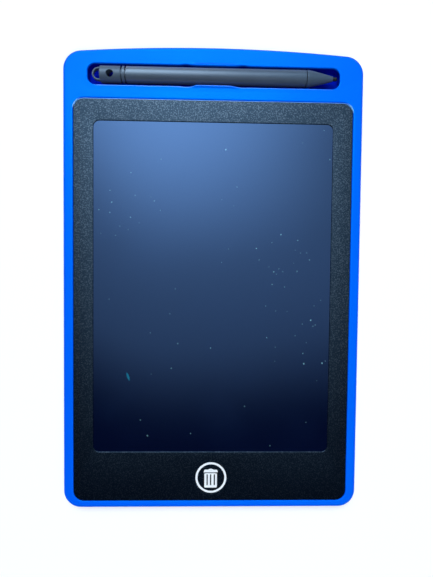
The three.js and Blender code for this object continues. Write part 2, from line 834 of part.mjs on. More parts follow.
const blocks = [
  ["controller_chip", chipX, chipWidth, chipDepth, chipHeight, chipBlack],
  ["charge_capacitor", capacitorX, capacitorWidth, capacitorDepth, capacitorHeight, capacitorTan],
];
for (const [name, x, width, depth, height, finish] of blocks) {
  add(name, prism(rectangle(boxAround(x, keyY, width, depth)), boardTopZ, boardTopZ + height), finish);
}
for (let i = 0; i < 3; i++) {
  const box = boxAround(resistorX, keyY + (i - 1) * resistorPitch, resistorWidth, resistorDepth);
  add(`board_resistor_${i + 1}`, prism(rectangle(box), boardTopZ, boardTopZ + resistorHeight), chipBlack);
}
const coilProfile = [
  [0, boardTopZ],
  [coilRadius, boardTopZ],
  [coilRadius, boardTopZ + coilHeight / 4],
  [coilRadius * coilWaistShare, boardTopZ + coilHeight / 3],
  [coilRadius * coilWaistShare, boardTopZ + (coilHeight * 2) / 3],
  [coilRadius, boardTopZ + (coilHeight * 3) / 4],
  [coilRadius, boardTopZ + coilHeight],
  [0, boardTopZ + coilHeight],
];
add("boost_coil", turned(coilProfile, smallSides).translate(coilX, keyY, 0), chipBlack);

// Click switch: a square base with a round well, a snap dome in the well and a button over it.
const wellRadius = switchButtonRadius + switchButtonGap;
const wellFloorZ = boardTopZ + switchFloor;
const switchBase = cut(
  prism(rectangle(boxAround(0, keyY, switchSize, switchSize)), boardTopZ, switchTopZ),
  turned(rod(wellRadius, wellFloorZ, switchTopZ + overrun), smallSides).translate(0, keyY, 0),
);
add("tact_switch_base", switchBase, blackPlastic);
const domeRadius = wellRadius - domeInset;
const domeProfile = [
  [domeRadius, wellFloorZ],
  [domeRadius, wellFloorZ + domeThickness],
  [domeRadius / 2, wellFloorZ + domeHeight],
  [0, wellFloorZ + domeHeight],
  [0, wellFloorZ + domeHeight - domeThickness],
  [domeRadius / 2, wellFloorZ + domeHeight - domeThickness],
  [domeRadius - domeThickness, wellFloorZ],
  [domeRadius, wellFloorZ],
];
add("tact_switch_dome", turned(domeProfile, smallSides).translate(0, keyY, 0), steel);
const buttonUnderZ = wellFloorZ + domeHeight + keyTravel + keySpare;
add("tact_switch_button", turned(rod(switchButtonRadius, buttonUnderZ, plungerUnderZ), smallSides)
  .translate(0, keyY, 0), whitePlastic);

// Erase key: the film zone with its plunger, whose two wings hold it under the case roof.
function erasePlunger() {
  const headRadius = keyRadius - plungerInset;
  const cupRadius = headRadius - plungerWall;
  const profile = [
    [0, plungerUnderZ],
    [plungerPostRadius, plungerUnderZ],
    [plungerPostRadius, filmBottomZ - plungerSkin],
    [cupRadius, filmBottomZ - plungerSkin],
    [cupRadius, plungerUnderZ],
    [headRadius, plungerUnderZ],
    [headRadius, filmBottomZ],
    [0, filmBottomZ],
  ];
  const wingSpan = wingReach + plungerWall;
  const wings = [-1, 1].map((side) => {
    const x = side * (headRadius - plungerWall + wingSpan / 2);
    return prism(rectangle(boxAround(x, keyY, wingSpan, 2 * wingHalfWidth)), plungerUnderZ, wingTopZ);
  });
  return join(turned(profile, roundSides).translate(0, keyY, 0), ...wings);
}

const keyFilm = turned(rod(keyRadius, filmBottomZ, filmTopZ), roundSides).translate(0, keyY, 0);
add("erase_key_film", keyFilm, blackFilm);
add("erase_plunger", erasePlunger(), blackPlastic);

// Lock: a slider in the back cover whose two prongs carry the lever of a small switch under the board.
const lockRestX = lockX - lockTravel / 2;
const lockSwitchUnderZ = flangeTopZ + lockSwitchGap;
const leverFaceY = keyY - lockSwitchWidth / 2 - slideGap;
const leverTopZ = (lockSwitchUnderZ + boardUnderZ) / 2 + leverThickness / 2;

function lockSlider() {
  const knobBox = boxAround(lockRestX, keyY, knobLength, knobWidth);
  const knob = prism(roundedRectangle(knobBox, knobRidgeWidth, edgeSteps), knobSink, flangeTopZ);
  const flangeBox = boxAround(lockRestX, keyY, flangeLength, flangeWidth);
  const flange = prism(rectangle(flangeBox), flangeUnderZ, flangeTopZ);
  const prongs = [-1, 1].map((side) => {
    const x = lockRestX + side * (leverWidth / 2 + prongPlay + prongThickness / 2);
    const box = boxAround(x, leverFaceY - slideGap - leverReach / 2, prongThickness, leverReach);
    return prism(rectangle(box), flangeUnderZ, leverTopZ);
  });
  const grooves = [];
  for (let i = 0; i < knobRidges; i++) {
    const x = lockRestX + (i - (knobRidges - 1) / 2) * 2 * knobRidgeWidth;
    const groove = boxAround(x, keyY, knobRidgeWidth, knobWidth - 2 * knobRidgeWidth);
    grooves.push(prism(rectangle(groove), knobSink - overrun, knobSink + knobRidgeDepth));
  }
  return cut(join(knob, flange, ...prongs), ...grooves);
}

add("lock_slider", lockSlider(), blackPlastic);
const lockBox = boxAround(lockX, keyY, lockSwitchLength, lockSwitchWidth);
add("lock_switch_body", prism(rectangle(lockBox), lockSwitchUnderZ, boardUnderZ), steel);
const leverBox = boxAround(lockRestX, leverFaceY - leverReach / 2, leverWidth, leverReach);
add("lock_switch_lever", prism(rectangle(leverBox), leverTopZ - leverThickness, leverTopZ), whitePlastic);

// Coin cell, can side down and lid side up, between two sprung contacts
const lidStartZ = cellTopZ - cellLidStep;
const cellProfile = [
  [0, cellUnderZ],
  [cellRadius - cellLidStep, cellUnderZ],
  [cellRadius, cellUnderZ + cellLidStep],
  [cellRadius, lidStartZ],
  [cellRadius - cellLidInset / 2, lidStartZ + cellLidStep / 2],
  [cellRadius - cellLidInset, lidStartZ + cellLidStep / 2],
  [cellRadius - cellLidInset - cellLidStep, cellTopZ],
  [0, cellTopZ],
];
add("coin_cell", turned(cellProfile, roundSides).translate(cellX, cellY, 0), steel);

const touchZ = cellTopZ + contactLift;
const contactStartX = boardRightX - contactFoot;
const negativeStrip = [
  [contactStartX, boardTopZ],
  [boardRightX, boardTopZ],
  [cellX - cellRadius / 2, touchZ],
  [cellX, touchZ],
  [cellX + contactFoot / 2, boardTopZ],
  [cellX + contactFoot / 2, boardTopZ + contactThickness],
  [cellX, touchZ + contactThickness],
  [cellX - cellRadius / 2, touchZ + contactThickness],
  [boardRightX, boardTopZ + contactThickness],
  [contactStartX, boardTopZ + contactThickness],
];
add("cell_contact_negative", acrossY(negativeStrip, cellY + contactSpread / 2, contactWidth), steel);

const contactY = cellY - contactSpread;
const rimX = cellX - Math.sqrt(cellRadius * cellRadius - Math.pow(contactSpread - contactWidth / 2, 2));
const tabX = rimX - contactGap;
const positiveStrip = [
  [contactStartX, boardTopZ],
  [tabX - contactThickness, boardTopZ],
  [tabX - contactThickness, ledgeTopZ + contactLift],
  [tabX, ledgeTopZ + contactLift],
  [tabX, boardTopZ + contactThickness],
  [contactStartX, boardTopZ + contactThickness],
];
add("cell_contact_positive", acrossY(positiveStrip, contactY, contactWidth), steel);

// Battery door with its captive screw
function batteryDoor() {
  const onScrew = (radius, low, high) =>
    turned(rod(radius, low, high), smallSides).translate(doorScrewX, cellY, 0);
  const plateOutline = roundedRectangle(shrunk(doorBox, doorPlay), doorCornerRadius - doorPlay);
  const plate = prism(plateOutline, doorSink, doorTopZ);
  return cut(
    join(plate, onScrew(doorPadRadius, doorSink, doorTopZ + doorPadHeight)),
    onScrew(doorHeadRadius + fitClearance, -overrun, doorSink + doorHeadHeight + slideGap),
    onScrew(doorShankRadius + threadGap, 0, bodyThickness),
  );
}

add("battery_door", batteryDoor(), bluePlastic);
const doorScrew = crossScrew(doorShankRadius, doorScrewLength, doorHeadRadius, doorHeadHeight - slideGap,
  screwRecessWidth, screwRecessDepth);
const upsideDown = new THREE.Matrix4().set(1, 0, 0, 0, 0, -1, 0, 0, 0, 0, -1, 0, 0, 0, 0, 1);
add("battery_door_screw", doorScrew.applyMatrix4(upsideDown)
  .translate(doorScrewX, cellY, doorSink + doorHeadHeight), steel);

// Stylus, lying along X in its slot
const stylus = new THREE.Group();
stylus.position.set(0, slotY, stylusAxisZ);
tablet.add(stylus);
const spigotRadius = stylusBore - spigotClearance;

function roundedEnd(radius, edge, x, from, to) {
  return arc(x, radius - edge, edge, from, to, edgeSteps).map((point) => [point.y, point.x]);
}

function endCap() {
  const quarter = Math.PI / 2;
  const profile = [
    [0, capStartX],
    ...roundedEnd(stylusRadius, capEdgeRadius, capStartX + capEdgeRadius, 2 * quarter, quarter),
    [stylusRadius, capEndX],
    [spigotRadius, capEndX],
    [spigotRadius, barrelStartX + spigotLength],
    [0, barrelStartX + spigotLength],
  ];
  const bailInner = bailRadius - bailThickness;
  const bailCentre = capStartX - bailArm;
  const bailEnd = capStartX + bailThickness;
  const arched = (radius, height, end) => join(
    turned(rod(radius, -height / 2, height / 2), roundSides).translate(bailCentre, 0, 0),
    prism(rectangle({ left: bailCentre, right: end, low: -radius, high: radius }), -height / 2, height / 2),
  );
  const bail = cut(
    arched(bailRadius, bailHeight, bailEnd),
    arched(bailInner, 2 * bailHeight, bailEnd + bailRadius),
    prism(rectangle({ left: bailEnd, right: bailEnd + bailRadius, low: -stylusRadius, high: stylusRadius }),
      -bailHeight, bailHeight),
  );
  const hole = turned(rod(lanyardHoleRadius, -2 * stylusRadius, 2 * stylusRadius), smallSides)
    .rotateX(THREE.MathUtils.degToRad(lanyardHoleLean))
    .translate(capStartX + lanyardHoleSetback, 0, 0);
  return cut(join(turned(profile, stylusSides, "x"), bail), hole);
}

function nose() {
  const borePlay = nibRadius + nibClearance;
  const taper = [];
  for (let step = 1; step <= 2 * edgeSteps; step++) {
    const share = step / (2 * edgeSteps);
    const straight = stylusRadius + (noseTipRadius - stylusRadius) * share;
    taper.push([straight + noseSwell * Math.sin(Math.PI * share), noseLandX + noseTaperLength * share]);
  }
  return [
    [0, barrelEndX - spigotLength],
    [spigotRadius, barrelEndX - spigotLength],
    [spigotRadius, noseStartX],
    [stylusRadius, noseStartX],
    [stylusRadius, noseLandX],
    ...taper,
    [borePlay, noseEndX],
    [borePlay, noseEndX - nibDepth - nibClearance],
    [0, noseEndX - nibDepth - nibClearance],
  ];
}

function nib() {
  const quarter = Math.PI / 2;
  const ball = arc(nibEndX - nibRadius, 0, nibRadius, quarter, 0, edgeSteps).map((point) => [
    Math.max(0, point.y),
    point.x,
  ]);
  ball[ball.length - 1][0] = 0;
  return [[0, noseEndX - nibDepth], [nibRadius, noseEndX - nibDepth], ...ball];
}

add("stylus_barrel", turned(ring(stylusBore, stylusRadius, barrelStartX, barrelEndX), stylusSides, "x"),
  greyPlastic, stylus);
add("stylus_collar", turned(ring(stylusBore, stylusRadius, collarStartX, collarEndX), stylusSides, "x"),
  greyPlastic, stylus);
add("stylus_end_cap", endCap(), greyPlastic, stylus);
add("stylus_nose", turned(nose(), stylusSides, "x"), greyPlastic, stylus);
add("stylus_nib", turned(nib(), smallSides, "x"), nibPlastic, stylus);

export default tablet;
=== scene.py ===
import math

import bmesh
import bpy
from mathutils import Matrix, Vector


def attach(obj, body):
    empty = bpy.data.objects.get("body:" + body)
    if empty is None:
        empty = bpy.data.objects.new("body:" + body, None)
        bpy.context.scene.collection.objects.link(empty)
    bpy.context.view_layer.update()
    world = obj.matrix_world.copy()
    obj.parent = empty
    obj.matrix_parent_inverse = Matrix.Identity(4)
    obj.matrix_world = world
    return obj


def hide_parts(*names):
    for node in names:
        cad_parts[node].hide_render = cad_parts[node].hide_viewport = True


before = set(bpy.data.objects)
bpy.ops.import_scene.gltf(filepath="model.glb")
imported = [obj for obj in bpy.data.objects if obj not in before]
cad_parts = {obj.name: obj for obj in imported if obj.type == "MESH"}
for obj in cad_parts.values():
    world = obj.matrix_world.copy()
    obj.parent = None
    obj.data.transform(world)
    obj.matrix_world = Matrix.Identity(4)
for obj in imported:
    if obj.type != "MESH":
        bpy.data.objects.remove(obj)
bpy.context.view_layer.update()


# Back cover. One moulding in saturated blue ABS with a satin face. It closes the case from behind
# and its inner face is the floor that shows under the stylus. It snaps in with hooks on its rim.
def place_node(tree, kind, **settings):
    node = tree.nodes.new(kind)
    for name, value in settings.items():
        setattr(node, name, value)
    return node


def set_inputs(node, **values):
    for name, value in values.items():
        node.inputs[name.replace("_", " ")].default_value = value
    return node


def new_effect(name, inputs, outputs):
    effect = bpy.data.node_groups.new(name, "ShaderNodeTree")
    for label, value in inputs:
        socket = effect.interface.new_socket(label, in_out="INPUT", socket_type="NodeSocketFloat")
        socket.default_value = value
    for label in outputs:
        effect.interface.new_socket(label, in_out="OUTPUT", socket_type="NodeSocketFloat")
    ends = place_node(effect, "NodeGroupInput"), place_node(effect, "NodeGroupOutput")
    return effect, *ends


def noise(tree, where, scale, detail=2.0, roughness=0.5):
    node = place_node(tree, "ShaderNodeTexNoise")
    set_inputs(node, Detail=detail, Roughness=roughness)
    tree.links.new(where, node.inputs["Vector"])
    if isinstance(scale, (int, float)):
        node.inputs["Scale"].default_value = scale
    else:
        tree.links.new(scale, node.inputs["Scale"])
    return node.outputs["Fac"]


def calculate(tree, operation, *values, clamp=False):
    node = place_node(tree, "ShaderNodeMath", operation=operation, use_clamp=clamp)
    for socket, value in zip(node.inputs, values):
        if isinstance(value, (int, float)):
            socket.default_value = value
        else:
            tree.links.new(value, socket)
    return node.outputs["Value"]


def spread(tree, value, low, high, to_low=0.0, to_high=1.0):
    node = place_node(tree, "ShaderNodeMapRange", interpolation_type="SMOOTHSTEP")
    tree.links.new(value, node.inputs["Value"])
    for label, number in zip(("From Min", "From Max", "To Min", "To Max"), (low, high, to_low, to_high)):
        node.inputs[label].default_value = number
    return node.outputs["Result"]


def product(tree, first, *others):
    for value in others:
        first = calculate(tree, "MULTIPLY", first, value)
    return first


def mix_colors(tree, amount, first, second):
    first_socket, second_socket, result_socket = 6, 7, 2
    node = place_node(tree, "ShaderNodeMix", data_type="RGBA")
    tree.links.new(amount, node.inputs["Factor"])
    for number, value in ((first_socket, first), (second_socket, second)):
        if isinstance(value, tuple):
            node.inputs[number].default_value = (*value, 1.0)
        else:
            tree.links.new(value, node.inputs[number])
    return node.outputs[result_socket]


def place_and_facing(tree):
    """Where a spot on the surface lies, and which way it faces, each split into X, Y and Z."""
    spot = place_node(tree, "ShaderNodeTexCoord")
    parts = []
    for label in ("Object", "Normal"):
        split = place_node(tree, "ShaderNodeSeparateXYZ")
        tree.links.new(spot.outputs[label], split.inputs[0])
        parts.append(split.outputs)
    return parts


def moulded_grain_effect():
    """The fine spark-eroded grain of a moulding, with slow waves left by uneven cooling."""
    effect, given, result = new_effect(
        "moulded grain", [("Grains per metre", 5000.0), ("Waves per metre", 40.0)], ["Grain", "Waves"]
    )
    where = place_node(effect, "ShaderNodeTexCoord").outputs["Object"]
    grain = noise(effect, where, given.outputs["Grains per metre"], detail=3.0, roughness=0.6)
    waves = noise(effect, where, given.outputs["Waves per metre"], detail=1.0)
    effect.links.new(grain, result.inputs["Grain"])
    effect.links.new(waves, result.inputs["Waves"])
    return effect


def handling_effect():
    """Hairline scuffs in two directions, and the dull patches that fingers leave."""
    effect, given, result = new_effect(
        "handling marks", [("Scuffs per metre", 900.0)], ["Scuffs", "Patches"]
    )
    where = place_node(effect, "ShaderNodeTexCoord").outputs["Object"]
    scuffs = []
    for turn, stretch in ((0.5, 0.03), (-0.9, 0.02)):
        lay = place_node(effect, "ShaderNodeMapping")
        lay.inputs["Rotation"].default_value = (0.0, 0.0, turn)
        lay.inputs["Scale"].default_value = (stretch, 1.0, 1.0)
        effect.links.new(where, lay.inputs["Vector"])
        line = noise(effect, lay.outputs["Vector"], given.outputs["Scuffs per metre"], detail=0.0)
        scuffs.append(spread(effect, line, 0.74, 0.8))
    effect.links.new(calculate(effect, "MAXIMUM", *scuffs), result.inputs["Scuffs"])
    patches = noise(effect, where, 28.0, detail=3.0, roughness=0.55)
    effect.links.new(spread(effect, patches, 0.4, 0.7), result.inputs["Patches"])
    return effect


moulded_grain = moulded_grain_effect()
handling_marks = handling_effect()


class Finish:
    """A material with one Principled shader, and the few steps that most finishes here share."""

    def __init__(self, name, color, roughness, **sockets):
        self.material = bpy.data.materials.new(name)
        self.material.use_nodes = True
        self.tree = self.material.node_tree
        self.shader = self.tree.nodes["Principled BSDF"]
        self.color = color
        set_inputs(self.shader, Base_Color=(*color, 1.0), Roughness=roughness, **sockets)

    def effect(self, group, **values):
        node = place_node(self.tree, "ShaderNodeGroup", node_tree=group)
        set_inputs(node, **values)
        return node.outputs

    def where(self):
        return place_node(self.tree, "ShaderNodeTexCoord").outputs["Object"]

    def mix_color(self, amount, second, first=None):
        return mix_colors(self.tree, amount, first or self.color, second)

    def raised(self, start, mask, by):
        """The start value where the mask is 0, and by that much more where it is 1."""
        return calculate(self.tree, "MULTIPLY_ADD", mask, by, start)

    def feed(self, label, value):
        self.tree.links.new(value, self.shader.inputs[label])

    def bump(self, height, depth_mm, strength=1.0):
        node = place_node(self.tree, "ShaderNodeBump")
        node.inputs["Distance"].default_value = depth_mm / 1000
        node.inputs["Strength"].default_value = strength
        self.tree.links.new(height, node.inputs["Height"])
        self.feed("Normal", node.outputs["Normal"])


def front_wear_and_painted_light_effect():
    """Painted shade inside the stylus slot, which is also made rougher there, the shiny lower edge of the
    slot, and a painted highlight on the recess's head corners.
    """
    slot_y, slot_foot_z, shade_and_dull_to_z = 0.098, 0.0008, (0.0046, 0.0057)
    rub_half_length, rubbed_from_z, rubbed_facing = 0.0565, (0.0052, 0.0057), (0.03, 0.12)
    corner_x, corner_half_width, corner_foot_z = 0.0651, 0.0026, 0.005
    corner_from_y, corner_to_y, corner_facing = (0.0815, 0.0835), (0.0852, 0.0868), (0.93, 0.97)
    effect, given, result = new_effect(
        "front wear",
        [("Slot end", 0.0617), ("Slot side", 0.0064)],
        ["Inside", "Rubbed edge", "Painted corner glint"],
    )
    place, facing = place_and_facing(effect)
    aside = calculate(effect, "ABSOLUTE", place["X"])
    offset = calculate(effect, "SUBTRACT", place["Y"], slot_y)
    in_slot = product(
        effect,
        calculate(effect, "LESS_THAN", aside, given.outputs["Slot end"]),
        calculate(effect, "LESS_THAN", calculate(effect, "ABSOLUTE", offset), given.outputs["Slot side"]),
    )
    # Painted shade: the slot's walls and floor are darkened from the lip downwards, where the slot lies in
    # shade. The same mask also makes them rougher.
    inside = product(
        effect,
        in_slot,
        calculate(effect, "GREATER_THAN", place["Z"], slot_foot_z),
        spread(effect, place["Z"], *shade_and_dull_to_z, 1.0, 0.0),
    )
    rubbed = product(
        effect,
        in_slot,
        calculate(effect, "LESS_THAN", offset, 0.0),
        calculate(effect, "COMPARE", place["X"], 0.0, rub_half_length),
        spread(effect, facing["Y"], *rubbed_facing),
        spread(effect, place["Z"], *rubbed_from_z),
    )
    # Painted highlight: a pale cyan glint on the rounded edge of the recess at its two head corners.
    corner = product(
        effect,
        calculate(effect, "COMPARE", aside, corner_x, corner_half_width),
        spread(effect, place["Y"], *corner_from_y),
        spread(effect, place["Y"], *corner_to_y, 1.0, 0.0),
        spread(effect, facing["Z"], *corner_facing, 1.0, 0.0),
        calculate(effect, "GREATER_THAN", place["Z"], corner_foot_z),
    )
    effect.links.new(inside, result.inputs["Inside"])
    effect.links.new(rubbed, result.inputs["Rubbed edge"])
    effect.links.new(corner, result.inputs["Painted corner glint"])
    return effect


def satin_blue():
    finish = Finish(
        "satin_blue_abs", (0.0, 0.112, 0.93), 0.3,
        IOR=1.68, Specular_Tint=(0.0, 0.85, 1.0, 1.0), Coat_Roughness=0.15, Coat_IOR=2.0,
    )
    grain = finish.effect(moulded_grain, Grains_per_metre=7000.0, Waves_per_metre=30.0)
    marks = finish.effect(handling_marks, Scuffs_per_metre=1200.0)
    tone = finish.mix_color(grain["Waves"], (0.0, 0.122, 0.97))
    wear_and_painted_light = finish.effect(front_wear_and_painted_light_effect())
    # Painted highlight: the recess's head corners are painted pale cyan, as a glint of light.
    tone = finish.mix_color(wear_and_painted_light["Painted corner glint"], (0.5, 0.95, 1.0), tone)
    shade_and_dull = wear_and_painted_light["Inside"]
    # Painted shade: the base colour turns deep dark blue inside the stylus slot, where it lies in shade.
    finish.feed("Base Color", finish.mix_color(shade_and_dull, (0.0, 0.001, 0.45), tone))
    finish.feed("Coat Weight", wear_and_painted_light["Rubbed edge"])
    dull = finish.raised(finish.raised(0.28, marks["Patches"], 0.05), shade_and_dull, 0.6)
    finish.feed("Roughness", finish.raised(dull, marks["Scuffs"], 0.06))
    finish.bump(grain["Grain"], 0.002)
    return finish.material


blue_abs = satin_blue()


def dress_node(name, material):
    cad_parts[name].data.materials.clear()
    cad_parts[name].data.materials.append(material)


dress_node("back_cover", blue_abs)


# Coin cell, its contacts, its door and the door's screw. The cell is a nickel-plated steel can, the
# contacts are sprung strips of nickel silver, and the door is blue ABS held by one small screw.
def plated_steel(name, color, roughness, lines_per_metre):
    finish = Finish(name, color, roughness, Metallic=1.0)
    marks = finish.effect(handling_marks, Scuffs_per_metre=lines_per_metre)
    grain = finish.effect(moulded_grain, Grains_per_metre=lines_per_metre * 2, Waves_per_metre=90.0)
    stained = tuple(channel * 0.8 for channel in color)
    finish.feed("Base Color", finish.mix_color(marks["Patches"], stained))
    rough = finish.raised(roughness - 0.08, grain["Waves"], 0.16)
    finish.feed("Roughness", finish.raised(rough, marks["Scuffs"], 0.15))
    finish.bump(grain["Grain"], 0.001)
    return finish.material


cell_can = plated_steel("nickel_plated_can", (0.50, 0.51, 0.52), 0.26, 2600.0)
sprung_strip = plated_steel("nickel_silver_strip", (0.52, 0.48, 0.40), 0.3, 2200.0)
screw_steel = plated_steel("zinc_plated_screw", (0.44, 0.46, 0.49), 0.28, 3000.0)
dress_node("coin_cell", cell_can)
dress_node("cell_contact_negative", sprung_strip)
dress_node("cell_contact_positive", sprung_strip)
dress_node("battery_door", blue_abs)
dress_node("battery_door_screw", screw_steel)


# Lock slider and its switch. The slider is black acetal with moulded finger ridges, and it carries
# the white lever of a small steel-cased switch that is soldered under the board.
def moulded_plastic(name, color, second, roughness):
    finish = Finish(name, color, roughness)
    grain = finish.effect(moulded_grain, Grains_per_metre=9000.0, Waves_per_metre=120.0)
    marks = finish.effect(handling_marks, Scuffs_per_metre=1500.0)
    finish.feed("Base Color", finish.mix_color(grain["Waves"], second))
    finish.feed("Roughness", finish.raised(roughness - 0.05, marks["Patches"], 0.1))
    finish.bump(grain["Grain"], 0.002)
    return finish.material


black_acetal = moulded_plastic("black_acetal", (0.009, 0.010, 0.012), (0.016, 0.017, 0.019), 0.42)
white_acetal = moulded_plastic("off_white_acetal", (0.66, 0.67, 0.65), (0.72, 0.73, 0.70), 0.45)
switch_case = plated_steel("tinned_switch_case", (0.50, 0.51, 0.50), 0.34, 1800.0)
dress_node("lock_slider", black_acetal)
dress_node("lock_switch_lever", white_acetal)
dress_node("lock_switch_body", switch_case)


# Circuit board and what is soldered to it. Glass-epoxy board under green solder mask, with a chip,
# a boost coil, a ceramic capacitor and three resistors, screwed to two posts of the back cover.
def board_mask():
    finish = Finish("green_solder_mask", (0.006, 0.085, 0.03), 0.34)
    tracks = place_node(finish.tree, "ShaderNodeTexVoronoi", feature="DISTANCE_TO_EDGE")
    tracks.inputs["Scale"].default_value = 420.0
    finish.tree.links.new(finish.where(), tracks.inputs["Vector"])
    copper = spread(finish.tree, tracks.outputs["Distance"], 0.05, 0.09, 1.0, 0.0)
    grain = finish.effect(moulded_grain, Grains_per_metre=4000.0, Waves_per_metre=200.0)
    finish.feed("Base Color", finish.mix_color(copper, (0.012, 0.15, 0.05)))
    finish.feed("Roughness", finish.raised(0.28, grain["Waves"], 0.12))
    finish.bump(copper, 0.02)
    return finish.material


def speckled_body(name, color, fleck, roughness, flecks_per_metre):
    finish = Finish(name, color, roughness)
    where = finish.where()
    flecks = spread(finish.tree, noise(finish.tree, where, flecks_per_metre, detail=3.0), 0.45, 0.62)
    finish.feed("Base Color", finish.mix_color(flecks, fleck))
    finish.bump(flecks, 0.004)
    grain = finish.effect(moulded_grain, Grains_per_metre=6000.0, Waves_per_metre=300.0)
    finish.feed("Roughness", finish.raised(roughness - 0.06, grain["Waves"], 0.12))
    return finish.material


chip_resin = speckled_body("chip_resin", (0.010, 0.010, 0.011), (0.018, 0.018, 0.019), 0.6, 5000.0)
coil_ferrite = speckled_body("coil_ferrite", (0.013, 0.012, 0.012), (0.03, 0.028, 0.026), 0.7, 3500.0)
ceramic = speckled_body("tan_ceramic", (0.38, 0.22, 0.10), (0.44, 0.27, 0.13), 0.45, 4000.0)
dress_node("circuit_board", board_mask())
dress_node("controller_chip", chip_resin)
dress_node("boost_coil", coil_ferrite)
dress_node("charge_capacitor", ceramic)
for number in (1, 2, 3):
    dress_node(f"board_resistor_{number}", chip_resin)
for side in ("left", "right"):
    dress_node(f"board_screw_{side}", screw_steel)


# Flat lead. Amber polyimide with copper tracks along it, bonded to the rear sheet of the screen and
# soldered to the board.
def amber_lead():
    finish = Finish("amber_polyimide", (0.42, 0.14, 0.018), 0.32)
    tracks = place_node(finish.tree, "ShaderNodeTexWave", bands_direction="X")
    tracks.inputs["Scale"].default_value = 160.0
    finish.tree.links.new(finish.where(), tracks.inputs["Vector"])
    copper = spread(finish.tree, tracks.outputs["Fac"], 0.45, 0.6)
    finish.feed("Base Color", finish.mix_color(copper, (0.56, 0.25, 0.07)))
    finish.feed("Roughness", finish.raised(0.36, copper, -0.06))
    finish.bump(copper, 0.015)
    return finish.material


dress_node("screen_flex_tail", amber_lead())


# Screen. Two clear sheets hold the liquid crystal film, a flat black sheet behind takes the light
# that passes, and tape bonds the stack to the deck of the case. The front is glossy and deep navy.
# Small presses have left pale blue-green dots in it.
def pressure_marks_effect():
    """Round dots at random places, more of them inside three loose groups, and one short stroke."""
    groups = ((-42, 34, 22, 0.24), (34, 8, 24, 0.24), (46, -30, 26, 0.22))
    least_share = 0.018
    stroke_place, stroke_turn, stroke_half_size = (-0.0407, -0.0467, 0.0), 0.34, (0.0006, 0.0021, 1.0)
    effect, given, result = new_effect(
        "pressure marks", [("Dots per metre", 330.0)], ["Dots", "Stroke"]
    )
    where = place_node(effect, "ShaderNodeTexCoord").outputs["Object"]
    flat = place_node(effect, "ShaderNodeMapping")
    flat.inputs["Scale"].default_value = (1.0, 1.0, 0.0)
    effect.links.new(where, flat.inputs["Vector"])
    dots = place_node(effect, "ShaderNodeTexVoronoi", feature="F1", voronoi_dimensions="2D")
    effect.links.new(flat.outputs["Vector"], dots.inputs["Vector"])
    effect.links.new(given.outputs["Dots per metre"], dots.inputs["Scale"])
    chance = place_node(effect, "ShaderNodeSeparateColor")
    effect.links.new(dots.outputs["Color"], chance.inputs["Color"])
    share = least_share
    for x_mm, y_mm, reach_mm, middle_share in groups:
        away = place_node(effect, "ShaderNodeVectorMath", operation="DISTANCE")
        effect.links.new(flat.outputs["Vector"], away.inputs[0])
        away.inputs[1].default_value = (x_mm / 1000, y_mm / 1000, 0.0)
        near = spread(effect, away.outputs["Value"], 0.0, reach_mm / 1000, middle_share, 0.0)
        share = calculate(effect, "ADD", share, near)
    kept = calculate(effect, "LESS_THAN", chance.outputs["Blue"], share)
    size = calculate(effect, "MULTIPLY_ADD", chance.outputs["Green"], 0.06, 0.08)
    fade = calculate(effect, "DIVIDE", dots.outputs["Distance"], size)
    round_dot = spread(effect, fade, 0.5, 1.3, 1.0, 0.0)
    few_strong = calculate(effect, "POWER", chance.outputs["Red"], 2.5)
    strength = calculate(effect, "MULTIPLY_ADD", few_strong, 0.8, 0.2)
    effect.links.new(product(effect, round_dot, kept, strength), result.inputs["Dots"])
    lay = place_node(effect, "ShaderNodeMapping", vector_type="TEXTURE")
    set_inputs(lay, Location=stroke_place, Rotation=(0.0, 0.0, stroke_turn), Scale=stroke_half_size)
    effect.links.new(flat.outputs["Vector"], lay.inputs["Vector"])
    reach = place_node(effect, "ShaderNodeVectorMath", operation="LENGTH")
    effect.links.new(lay.outputs["Vector"], reach.inputs[0])
    stroke = spread(effect, reach.outputs["Value"], 0.6, 1.2, 1.0, 0.0)
    effect.links.new(stroke, result.inputs["Stroke"])
    return effect


pressure_marks = pressure_marks_effect()


def glossy_navy():
    finish = Finish(
        "glossy_navy_sheet", (0.0003, 0.0018, 0.016), 0.2,
        IOR=1.8, Specular_IOR_Level=1.0, Specular_Tint=(0.34, 0.515, 0.84, 1.0),
    )
    marks = finish.effect(pressure_marks, Dots_per_metre=330.0)
    hand = finish.effect(handling_marks, Scuffs_per_metre=700.0)
    base = finish.mix_color(hand["Patches"], (0.0004, 0.0024, 0.019))
    dotted = finish.mix_color(marks["Dots"], (0.18, 0.38, 0.4), base)
    finish.feed("Base Color", finish.mix_color(marks["Stroke"], (0.0, 0.14, 0.21), dotted))
    finish.feed("Roughness", finish.raised(0.08, hand["Patches"], 0.05))
    return finish.material


def clear_sheet():
    finish = Finish("clear_pet_sheet", (0.55, 0.62, 0.66), 0.16)
    marks = finish.effect(handling_marks, Scuffs_per_metre=800.0)
    finish.feed("Base Color", finish.mix_color(marks["Patches"], (0.60, 0.66, 0.70)))
    finish.feed("Roughness", finish.raised(0.14, marks["Scuffs"], 0.2))
    return finish.material


def tape(name, color):
    finish = Finish(name, color, 0.7)
    weave = noise(finish.tree, finish.where(), 1500.0, detail=4.0, roughness=0.7)
    lighter = tuple(min(1.0, channel * 1.12) for channel in color)
    finish.feed("Base Color", finish.mix_color(weave, lighter))
    finish.feed("Roughness", finish.raised(0.6, weave, 0.2))
    finish.bump(weave, 0.01)
    return finish.material


